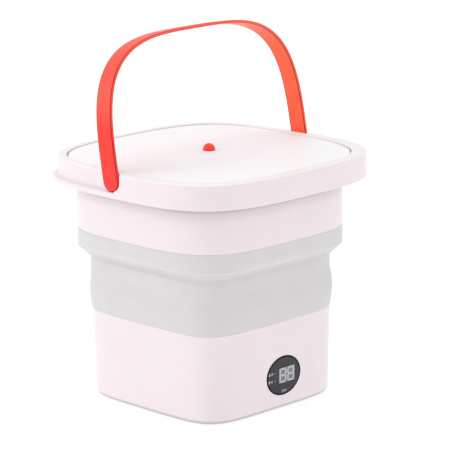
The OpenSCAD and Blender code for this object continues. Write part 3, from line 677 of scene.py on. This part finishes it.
def build_bellows():
    """The soft wall: a smooth section, thickened inwards, with the slight waviness of soft silicone."""
    line = smooth_line(BELLOWS_LINE, 4) * MM
    heights, halves = line[:, 0], line[:, 1]
    slope = np.gradient(line, axis=0)
    normal = np.stack([-slope[:, 1], slope[:, 0]], axis=-1)
    normal /= np.linalg.norm(normal, axis=1)[:, None]
    share = (heights - BASE_TOP) / (COLLAR_BOTTOM - BASE_TOP)
    turning = np.clip((heights - SHOULDER_LOW) / (SHOULDER_HIGH - SHOULDER_LOW), 0, 1)
    exponents = BASE_N + (COLLAR_N - BASE_N) * turning
    fade = np.sin(np.clip(share, 0, 1) * math.pi) ** 2
    wave = fade[:, None] * sum(depth * MM * np.sin(count * EVEN + phase + turn * share[:, None])
                               for depth, count, phase, turn in WAVES)
    inner_half = halves - SILICONE_THICK * normal[:, 1]
    inner_height = np.clip(heights - SILICONE_THICK * normal[:, 0], BASE_TOP, COLLAR_BOTTOM)
    outer, inner = (np.stack([half[:, None] + wave, height[:, None] + 0 * wave], axis=-1)
                    for half, height in ((halves, heights), (inner_half, inner_height)))
    profile = np.concatenate([outer, inner[::-1]])
    piece = loft("bellows_wall", profile, np.concatenate([exponents, exponents[::-1]]), SILICONE)
    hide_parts("bellows")
    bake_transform(piece)


# ---------- upper body ----------


def build_collar():
    """Upright wall with a flange at its top that the rim is screwed to."""
    profile = rounded([
        (COLLAR_HALF - WALL, COLLAR_BOTTOM, 0.4 * MM),
        (COLLAR_HALF, COLLAR_BOTTOM, 0.5 * MM),
        (COLLAR_HALF, 257.5 * MM, 0.8 * MM),
        (COLLAR_HALF + 8 * MM, 259.5 * MM, 0.4 * MM),
        (COLLAR_HALF + 8 * MM, COLLAR_TOP - 0.1 * MM, 0.4 * MM),
        (COLLAR_HALF - WALL, COLLAR_TOP - 0.1 * MM, 0.4 * MM),
    ])
    place(loft("collar_shell", profile, COLLAR_N, COLLAR_PINK_SHADED), "upper", "pink_plastic", "upper_collar")


def rim_section(outer, lip_out_z, lip_in_z):
    """Corners of the rim's section. The wall stands at outer above the lip, whose top runs from lip_out_z
    at the rim's outside to lip_in_z at the wall."""
    return [
        (RIM_HALF - RIM_WALL, RIM_BOTTOM, 0.4 * MM),
        (RIM_HALF, RIM_BOTTOM, 1.0 * MM),
        (RIM_HALF, lip_out_z, 1.4 * MM),
        (outer, lip_in_z, 1.2 * MM),
        (outer, RIM_TOP, 2.6 * MM),
        (OPENING_HALF, RIM_TOP, 1.0 * MM),
        (OPENING_HALF, SEAT, 0.5 * MM),
        (COLLAR_HALF + 1 * MM, SEAT, 0.3 * MM),
        (COLLAR_HALF + 1 * MM, COLLAR_TOP, 0.3 * MM),
        (OPENING_HALF + RIM_WALL, COLLAR_TOP, 0.5 * MM),
        (OPENING_HALF + RIM_WALL, RIM_TOP - RIM_WALL, 0.5 * MM),
        (outer - RIM_WALL, RIM_TOP - RIM_WALL, 0.5 * MM),
        (outer - RIM_WALL, lip_in_z - RIM_WALL, 0.4 * MM),
        (RIM_HALF - RIM_WALL - 0.01 * MM, lip_in_z - RIM_WALL - 0.5 * MM, 0.1 * MM),
    ]


def build_rim():
    """The front is a full-width band. Round the back, the wall steps in to make the channel of the folded
    handle, with a lip below it. At the pivots the channel ends in a pocket that follows the strap's round
    foot."""
    front = rounded(rim_section(RIM_HALF, LIP_TOP - 2 * MM, LIP_TOP + 2 * MM))
    back = rounded(rim_section(RIM_HALF - RECESS, LIP_TOP, LIP_TOP))
    wall_start = 4 * PER_CORNER                       # the first point after the lip's inner corner
    more_rows = np.linspace(0, 1, 16)[1:-1, None]     # up the wall, for the pocket's oval end
    front, back = (np.vstack([line[:wall_start],
                              line[wall_start - 1] * (1 - more_rows) + line[wall_start] * more_rows,
                              line[wall_start:]]) for line in (front, back))
    pocket_end = math.atan2(POCKET_HALF + RAMP, RIM_HALF)
    more_angles = np.linspace(-0.002, pocket_end + 0.004, 52)
    angles = np.unique(np.concatenate([EVEN, -more_angles % (2 * math.pi), math.pi + more_angles]))
    places = outline(RIM_HALF, RIM_N, angles)[:, 1]
    below_pivot = np.clip((PIVOT_Z - back[:, 1]) / POCKET_DEPTH, 0, 1)
    below_pivot[wall_start + len(more_rows):] = 0     # the inner side has no pocket, so it stays behind
    ends = -POCKET_HALF * np.sqrt(1 - below_pivot**2)[:, None]
    t = np.clip((places - ends + RAMP) / RAMP, 0, 1)
    share = (t * t * (3 - 2 * t))[..., None]
    profile = front[:, None, :] * (1 - share) + back[:, None, :] * share
    rim = loft("rim_shell", profile, RIM_N, RIM_PINK_TOP_LIT, angles)
    length = RIM_HALF - RECESS - OPENING_HALF - RIM_WALL - 0.2 * MM
    profile = rounded([(SOCKET_R, 0, 0.1 * MM), (BOSS_R, 0, 0.1 * MM),
                       (BOSS_R, length, 0.1 * MM), (SOCKET_R, length, 0.1 * MM)])
    off_grid = Matrix.Rotation(math.radians(2.5), 4, "Z")    # keeps the cutter's corners off the rim's own
    sockets, bosses = [], []
    for side in (-1, 1):
        outwards = Matrix.Rotation(math.radians(side * 90), 4, "Y") @ off_grid
        at = Matrix.Translation((side * (OPENING_HALF + 2.2 * MM), 0, PIVOT_Z))
        sockets.append(drill(SOCKET_R, 12 * MM, at @ outwards))
        at = Matrix.Translation((side * (OPENING_HALF + RIM_WALL - 0.4 * MM), 0, PIVOT_Z))
        bosses.append(lathe("boss", profile, PINK, at @ outwards))
    cut(rim, *sockets)
    rim = join("rim_shell", [rim, *bosses])
    place(rim, "upper", "pink_plastic", "rim_frame")


# ---------- lid ----------


def build_lid():
    """A shallow crowned panel with a rounded edge and a skirt that drops inside the rim, in one closed
    skin from the middle of its underside, round the skirt, to the middle of its top."""
    top, skirt = LID_EDGE_TOP, SEAT + 0.8 * MM
    inside = LID_HALF - LID_WALL
    edge = rounded([
        (inside, skirt, 0.4 * MM),
        (LID_HALF, skirt, 0.4 * MM),
        (LID_HALF, top, 1.2 * MM),
        (100 * MM, top + 1.25 * MM, 0.2 * MM),
        (inside, top - LID_WALL, 0.6 * MM),
    ])
    skirt_and_edge = edge[:3 * PER_CORNER]
    crown = [(half * MM, top + LID_CROWN * (1 - (half * MM / LID_HALF) ** 2))
             for half in (128, 112, 92, 70, 48, 28, 14, 6)]
    under = [(half, z - LID_WALL) for half, z in reversed(crown)]
    profile = np.array([*under, (inside, top - 2.4 * MM), *skirt_and_edge, *crown])
    exponents = [2 + (LID_N - 2) * min(1, half / (90 * MM)) for half, _ in profile]
    place(loft("lid_skin", profile, exponents, LID, closed=False), "lid", "lid_plastic", "lid_panel")


def build_knob():
    """A pull knob: a dome that narrows upwards from a low band, with a painted shadow line round its foot.
    """
    base, line = LID_EDGE_TOP + LID_CROWN, 0.9 * MM
    turns = np.radians(np.arange(0, 91, 6))
    dome = [(KNOB_R * math.cos(a) ** 1.15, 0.8 * MM + 7 * MM * math.sin(a)) for a in turns]
    profile = [
        (2.5 * MM, -2 * MM), (2.5 * MM, 0.02 * MM), (KNOB_R - 0.15 * MM, 0.05 * MM), (KNOB_R, 0.2 * MM),
        (KNOB_R, 0.7 * MM), *dome[1:-1],
    ]
    knob = lathe("knob_dome", profile, RED, Matrix.Translation((0, 0, base)), 64, closed=False)
    # painted shadow: faces below the line round the foot take the dark red
    knob.data.materials.append(RED_SHADE_LINE)
    for face in knob.data.polygons:
        face.material_index = int(face.center.z < base + line)
    place(knob, "lid", "red_plastic", "lid_knob")


# ---------- handle ----------


def handle_matrix():
    return Matrix.Translation((0, 0, PIVOT_Z)) @ Matrix.Rotation(-HANDLE_LEAN, 4, "X")


def build_handle():
    """The flat strap: a rounded section swept along the arch, narrowing to a half circle past each pivot,
    with a darker line of painted shade along both edges and a peg at each end."""
    half, height = ARCH_HALF + STRAP_THICK / 2, ARCH_HEIGHT + STRAP_THICK / 2
    angles = np.linspace(0, math.pi, 181)
    across = np.abs(np.cos(angles) / half) ** RIM_N + np.abs(np.sin(angles) / height) ** RIM_N
    reach = across ** (-1 / RIM_N)
    arch = np.stack([reach * np.cos(angles), reach * np.sin(angles)], axis=-1)
    radius = STRAP_WIDTH / 2
    drop = -radius * np.sin(np.radians(np.linspace(89, 3, 18)))
    start = np.stack([np.full_like(drop, half), drop], axis=-1)
    end = np.stack([np.full_like(drop, -half), drop[::-1]], axis=-1)
    path = np.concatenate([start, arch, end])
    heading = np.gradient(path, axis=0)
    heading /= np.linalg.norm(heading, axis=1)[:, None]
    outward = np.stack([heading[:, 1], -heading[:, 0]], axis=-1)
    widths = np.where(path[:, 1] < 0, np.sqrt(np.clip(radius**2 - path[:, 1] ** 2, 1e-9, None)), radius)
    section = section_points(STRAP_THICK / 2, EDGE_ROUND, EDGE_SHADE_LINE)
    vertices = []
    for point, side, width in zip(path, outward, widths):
        for across_share, inset, out in section:
            y = across_share * max(width - inset, 0.02 * MM)
            vertices.append((point[0] + side[0] * out, y, point[1] + side[1] * out))
    strap = make_piece("strap", vertices, tube_faces(len(path), len(section)), RED)
    # painted edge shade: faces within the shade line of either edge take the dark red, except the narrow
    # side's middle
    strap.data.materials.append(RED_SHADE_LINE)
    for face in strap.data.polygons:
        above_pivot = face.center.z > 0
        edge = abs(face.center.y) if above_pivot else math.hypot(face.center.y, face.center.z)
        narrow_side = abs(face.normal.y) > 0.93 if above_pivot else abs(face.normal.x) < 0.35
        face.material_index = int(edge > radius - EDGE_SHADE_LINE and not narrow_side)
    strap.data.transform(handle_matrix())
    pegs = []
    for side in (-1, 1):
        at = Matrix.Translation((side * (OPENING_HALF + RIM_WALL + 0.1 * MM), 0, 0))
        turn = Matrix.Rotation(math.radians(side * 90), 4, "Y")
        length = ARCH_HALF - OPENING_HALF - RIM_WALL + 0.5 * MM
        profile = [(PEG_R - 0.8 * MM, 0), (PEG_R - 0.3 * MM, 0.1 * MM), (PEG_R, 0.7 * MM), (PEG_R, length)]
        pegs.append(lathe("peg", profile, RED, handle_matrix() @ at @ turn, 48, closed=False))
    place(join("strap", [strap, *pegs]), "handle", "red_plastic", "handle_strap")


def section_points(half_thick, radius, line):
    """The strap's rounded section as (side, inset from the edge, place in the thickness), with one more
    point at the inset line beside each rounded corner."""
    points = []
    quarter = np.radians(np.linspace(0, 90, 6))
    for side, turn in ((1, 1), (1, -1), (-1, -1), (-1, 1)):
        corner = [(side, radius * (1 - math.cos(a)), turn * (half_thick - radius * (1 - math.sin(a))))
                  for a in quarter]
        flat = (side, line, turn * half_thick)
        points += [flat, *corner[::-1]] if side == turn else [*corner, flat]
    return points


# ---------- control panel ----------

WINDOW_X, WINDOW_UP = 4.7 * MM, 0.3 * MM       # centre of the digit window on the panel
WINDOW_W, WINDOW_H = 25.6 * MM, 17.8 * MM
SEGMENT = 2.0 * MM                             # width of a display segment
FACE = 0.42 * MM                               # the window's glossy face stands this far out


def slab(name, points, low, high, finish, place_at):
    """A flat shape between two heights, its outline given as points."""
    vertices = [(x, y, z) for z in (low, high) for x, y in points]
    piece = make_piece(name, vertices, tube_faces(2, len(points)), finish, 25)
    piece.data.transform(place_at)
    return piece


def ellipse_ring(name, rings, finish):
    """A turned shape stretched to the lens's oval: rings of (inset from the edge, height)."""
    around = 128
    vertices = [(x, y, z) for inset, z in rings for x, y in oval(LENS_A - inset, LENS_B - inset, around)]
    piece = make_piece(name, vertices, tube_faces(len(rings), around), finish, 30)
    piece.data.transform(on_panel())
    return piece


def build_lens():
    """Smoked oval window: a black rounded edge and a slightly raised glossy face."""
    edge = ellipse_ring("lens_edge", [
        (0, -2.5 * MM), (0, 0.1 * MM), (0.08 * MM, 0.34 * MM), (0.3 * MM, 0.5 * MM), (1.2 * MM, 0.54 * MM),
        (1.65 * MM, 0.48 * MM), (1.7 * MM, 0.2 * MM),
    ], LENS_EDGE)
    face = ellipse_ring("lens_face", [
        (1.65 * MM, -1 * MM), (1.7 * MM, 0.3 * MM), (1.8 * MM, 0.38 * MM), (2.1 * MM, FACE),
        (8 * MM, FACE), (16 * MM, FACE),
    ], LENS)
    place(join("lens", [edge, face]), "base", "display_lens", "display_lens")


def bar(centre, length, width, upright):
    """Outline of one display segment, a long hexagon."""
    x, y = centre
    a, b = length / 2, width / 2
    points = [(-a, 0), (-a + b, -b), (a - b, -b), (a, 0), (a - b, b), (-a + b, b)]
    if upright:
        points = [(-q, p) for p, q in points]
    return [(x + p, y + q) for p, q in points]


def digit_bars(centre_x, width, height):
    """The seven segments of one digit, each a list of outline points."""
    gap = 0.25 * MM
    half_w, half_h = (width - SEGMENT) / 2, (height - SEGMENT) / 2
    bars = [bar((centre_x, y), width - SEGMENT - gap, SEGMENT, False) for y in (-half_h, 0, half_h)]
    for x in (-half_w, half_w):
        for y in (-half_h / 2, half_h / 2):
            bars.append(bar((centre_x + x, y), half_h - gap, SEGMENT, True))
    return bars


def build_digits():
    """Pale window with a dark border, and two digits with all their segments showing."""
    at = on_panel(WINDOW_X, WINDOW_UP, FACE)
    w, h = WINDOW_W / 2, WINDOW_H / 2
    window = slab("digit_window", box_outline(WINDOW_W, WINDOW_H), -1 * MM, 0.05 * MM, DIGIT_BACK, at)
    line, low, high = 0.7 * MM, -0.5 * MM, 0.07 * MM
    rings = [(w + line, h + line, low), (w + line, h + line, high), (w, h, high), (w, h, low)]
    corners = ((-1, -1), (1, -1), (1, 1), (-1, 1))
    vertices = [(side * a, up * b, z) for a, b, z in rings for side, up in corners]
    border = make_piece("border", vertices, ring_faces(4, 4, True), LENS_EDGE, 25)
    border.data.transform(at)
    place(join("digit_window", [window, border]), "base", "display_body")
    segments = [slab("segment", points, 0, 0.11 * MM, DIGIT, at)
                for centre in (-6.1 * MM, 6.1 * MM) for points in digit_bars(centre, 10.6 * MM, 16.6 * MM)]
    place(join("digit_segments", segments), "base", "display_body")


def arc(radius, width, begin, end):
    """Outline of a curved stroke, angles in degrees."""
    turns = np.radians(np.linspace(begin, end, 14))
    outer, inner = radius + width / 2, radius - width / 2
    return [*((outer * math.cos(a), outer * math.sin(a)) for a in turns),
            *((inner * math.cos(a), inner * math.sin(a)) for a in turns[::-1])]


def box_outline(width, height):
    a, b = width / 2, height / 2
    return [(-a, -b), (a, -b), (a, b), (-a, b)]


def drop_outline(radius):
    """A water drop, point up."""
    turns = np.radians(np.linspace(150, 390, 16))
    return [(0, 2.2 * radius), *[(radius * math.cos(a), radius * math.sin(a)) for a in turns]]


def build_marks():
    """Generic signs: two programme rows, each with two pictograms and a lamp, and the touch key's signs
    below the window."""
    strokes = []

    def stroke(x, up, points, high=0.06, finish=INK):
        at = on_panel(x * MM, up * MM, FACE)
        strokes.append(slab("stroke", points, -0.3 * MM, high * MM, finish, at))

    first_row, second_row, key = 4.6, -3.9, -17.6
    stroke(-22.2, first_row - 0.5, drop_outline(1.15 * MM))
    stroke(-18.3, first_row, arc(1.1 * MM, 0.7 * MM, -60, 240))
    for k in (-1, 0, 1):
        stroke(-22.6, second_row + k * 1.15, box_outline(2.3 * MM, 0.75 * MM))
    stroke(-18.7, second_row - 0.4, drop_outline(0.9 * MM))
    for row in (first_row, second_row):
        stroke(-13.6, row, oval(0.85 * MM, 0.85 * MM, 23), 0.05, DIGIT_BACK)
    stroke(-1.4, key - 0.1, arc(1.2 * MM, 0.6 * MM, 125, 415))
    stroke(-1.4, key + 0.8, box_outline(0.6 * MM, 1.5 * MM))
    for k in (-1, 1):
        stroke(2.6 + k * 0.75, key, box_outline(0.8 * MM, 2.6 * MM))
    place(join("panel_marks", strokes), "base", "display_body")


# ---------- back: drain and power inlet ----------


def build_spout():
    """Hose stub with a flange against the casing and two shallow barbs."""
    wall = casing_half(SPOUT_Z)
    r, bore = SPOUT_R, DRAIN_R + 0.01 * MM
    profile = rounded([
        (bore, 97 * MM, 0.3 * MM), (r, 97 * MM, 0.3 * MM), (r, wall + 0.3 * MM, 0.1 * MM),
        (12 * MM, wall + 0.2 * MM, 0.2 * MM), (12 * MM, wall + 2.3 * MM, 0.8 * MM),
        (r, wall + 2.3 * MM, 1.0 * MM), (r, 113 * MM, 0.1 * MM), (8.5 * MM, 113.2 * MM, 0.2 * MM),
        (r, 117 * MM, 0.3 * MM), (r, 119 * MM, 0.1 * MM), (8.5 * MM, 119.2 * MM, 0.2 * MM),
        (7.5 * MM, SPOUT_END, 0.5 * MM), (bore, SPOUT_END, 0.3 * MM),
    ])
    spout = lathe("spout", profile, PINK, towards_back(SPOUT_X, 0, SPOUT_Z))
    place(spout, "base", "pink_plastic", "drain_spout")


def build_plug():
    """Soft bung with two sealing ribs and a pull ring."""
    start, rim = 112 * MM, SPOUT_END + 0.12 * MM
    r = 5.7 * MM
    profile = [(4.6 * MM, start), (5.5 * MM, start + 0.6 * MM), (r, start + 2 * MM)]
    for rib in (116 * MM, 120.5 * MM):
        profile += [(r, rib), (5.95 * MM, rib + 0.6 * MM), (5.95 * MM, rib + 1 * MM), (r, rib + 1.6 * MM)]
    profile += [(r, rim), (7.2 * MM, rim), (7.5 * MM, rim + 0.4 * MM), (7.5 * MM, rim + 1.7 * MM),
                (7 * MM, rim + 2.3 * MM), (3 * MM, rim + 2.4 * MM)]
    at = towards_back(SPOUT_X, 0, SPOUT_Z)
    plug = lathe("plug_body", profile, SILICONE, at, closed=False)
    around, thick = 64, 16
    vertices = []
    for a in directions(around):
        for b in directions(thick):
            reach = 5.35 * MM + 1.1 * MM * math.cos(b)
            vertices.append((1.45 * MM * math.sin(b), reach * math.cos(a), reach * math.sin(a)))
    faces = ring_faces(around, thick, True)
    ring = make_piece("pull_ring", vertices, faces, SILICONE)
    ring.data.transform(Matrix.Translation((SPOUT_X, SPOUT_END + 7 * MM, SPOUT_Z)))
    place(join("plug_body", [plug, ring]), "plug", "grey_silicone", "drain_plug")


def build_jack():
    """Barrel socket: rounded flange, dark bore and a steel centre pin."""
    wall = casing_half(JACK_Z)
    start = wall - 14 * MM
    profile = rounded([
        (0.3 * MM, start, 0.05 * MM), (JACK_R, start, 0.4 * MM), (JACK_R, wall + 0.2 * MM, 0.1 * MM),
        (7.5 * MM, wall + 0.15 * MM, 0.2 * MM), (7.5 * MM, wall + 1.7 * MM, 0.6 * MM),
        (JACK_BORE_R, wall + 1.7 * MM, 0.5 * MM), (JACK_BORE_R, start + 5 * MM, 0.2 * MM),
        (0.3 * MM, start + 5 * MM, 0.05 * MM),
    ])
    at = towards_back(JACK_X, 0, JACK_Z)
    barrel = lathe("jack", profile, BLACK_PLASTIC, at)
    pin_profile = [
        (JACK_PIN_R, start + 4.9 * MM), (JACK_PIN_R, start + 12.4 * MM),
        (JACK_PIN_R - 0.15 * MM, start + 12.8 * MM), (0.5 * MM, start + 13 * MM),
    ]
    pin = lathe("jack_pin", pin_profile, STEEL, at, 32, closed=False)
    place(join("jack", [barrel, pin]), "base", "black_plastic", "power_inlet")


# ---------- pulsator ----------

FINS = 6
FIN_START, FIN_LENGTH = 13 * MM, 52 * MM      # outwards from the pulsator's middle
FIN_BOW = 15 * MM                             # how far a ridge curves aside
FIN_HALF = 3.6 * MM


def fin_mesh(turn):
    """One curved ridge, low at both ends and highest near the middle."""
    vertices, steps, ring = [], 28, 13
    for s in np.linspace(0, 1, steps):
        x, y = FIN_START + FIN_LENGTH * s, FIN_BOW * math.sin(math.pi * s)
        dx, dy = FIN_LENGTH, FIN_BOW * math.pi * math.cos(math.pi * s)
        size = math.hypot(dx, dy)
        side = (-dy / size, dx / size)
        body = math.sin(math.pi * (0.06 + 0.88 * s)) ** 0.55
        width, height = FIN_HALF * body, (8.4 - 2.5 * s) * MM * body
        for k in range(ring):
            a = math.pi * k / (ring - 1)
            shift = width * math.cos(a)
            up = 75 * MM + height * math.sin(a) ** 0.8
            vertices.append((x + side[0] * shift, y + side[1] * shift, up))
    fin = make_piece("fin", vertices, tube_faces(steps, ring), WHITE)
    fin.data.transform(Matrix.Rotation(turn, 4, "Z"))
    return fin


def build_pulsator():
    """Dished disc with a raised hub and six curved ridges."""
    r = 72 * MM
    profile = rounded([
        (4.1 * MM, 74.5 * MM, 0.2 * MM), (16 * MM, 74.5 * MM, 0.5 * MM), (20 * MM, 71.5 * MM, 1 * MM),
        (r - 4 * MM, 71.5 * MM, 1 * MM), (r, 75 * MM, 0.8 * MM), (r - 1.5 * MM, 76.6 * MM, 0.7 * MM),
        (r - 9 * MM, 75 * MM, 3 * MM), (30 * MM, 75.6 * MM, 6 * MM), (17 * MM, 80.2 * MM, 4 * MM),
        (9 * MM, 82 * MM, 2 * MM), (5.7 * MM, 82 * MM, 0.3 * MM), (5.5 * MM, 80.6 * MM, 0.2 * MM),
        (2.4 * MM, 80.6 * MM, 0.2 * MM), (2.4 * MM, 79 * MM, 0.1 * MM), (4.1 * MM, 78.8 * MM, 0.1 * MM),
    ])
    disc = lathe("pulsator_disc", profile, WHITE, around=144)
    fins = [fin_mesh(2 * math.pi * k / FINS) for k in range(FINS)]
    place(join("pulsator_disc", [disc, *fins]), "agitator", "white_plastic", "pulsator")
    cap = [(5.3 * MM, 81.2 * MM), (5.3 * MM, 84.6 * MM), (5.0 * MM, 85.2 * MM), (4.2 * MM, 85.5 * MM),
           (2 * MM, 85.65 * MM)]
    place(lathe("hub_cap", cap, SILICONE, closed=False), "agitator", "grey_silicone", "pulsator_cap")


# ---------- floor, light and colour ----------

FLOOR_REACH, FLOOR_Z = 60, -0.1 * MM
WORLD_LIGHT = 0.72


def build_stage():
    """A wide, plain pale floor with a light of its own, so that it meets the white background."""
    floor_finish, tree, shader = new_material("floor")
    grey = mixed(tree, noise(tree, 6, 2.0), (0.34, 0.34, 0.34), (0.36, 0.36, 0.36))
    tree.links.new(grey, shader.inputs["Base Color"])
    shader.inputs["Roughness"].default_value = 0.9
    glow(floor_finish, (1, 1, 1), 0.74)
    mesh = bpy.data.meshes.new("floor")
    corners = [(x, y, FLOOR_Z) for x, y in box_outline(2 * FLOOR_REACH, 2 * FLOOR_REACH)]
    mesh.from_pydata(corners, [], [(0, 1, 2, 3)])
    mesh.materials.append(floor_finish)
    floor = bpy.data.objects.new("floor", mesh)
    bpy.context.scene.collection.objects.link(floor)


def add_light(name, place_at, size, power):
    """A square area lamp that points at the object's middle."""
    data = bpy.data.lights.new(name, "AREA")
    data.shape = "RECTANGLE"
    data.size = data.size_y = size
    data.energy = power
    light = bpy.data.objects.new(name, data)
    bpy.context.scene.collection.objects.link(light)
    light.location = place_at
    middle = Vector((0, 0, 0.15))
    light.rotation_euler = (middle - Vector(place_at)).to_track_quat("-Z", "Y").to_euler()


def add_lights():
    world = bpy.data.worlds.new("studio")
    bpy.context.scene.world = world
    world.use_nodes = True
    background = world.node_tree.nodes["Background"]
    background.inputs["Color"].default_value = (1, 1, 1, 1)
    background.inputs["Strength"].default_value = WORLD_LIGHT
    add_light("left", (-2.0, 1.3, 1.3), 1.2, 11.5)
    add_light("right", (1.5, -1.9, 1.2), 1.2, 3)
    add_light("top", (0.3, 0.6, 2.6), 1.8, 17)
    view = bpy.context.scene.view_settings
    view.view_transform = "Standard"
    view.look = "None"


build_casing()
build_tub()
build_feet()
build_bellows()
build_collar()
build_rim()
build_lid()
build_knob()
build_handle()
build_lens()
build_digits()
build_marks()
build_spout()
build_plug()
build_jack()
build_pulsator()
build_stage()
add_lights()
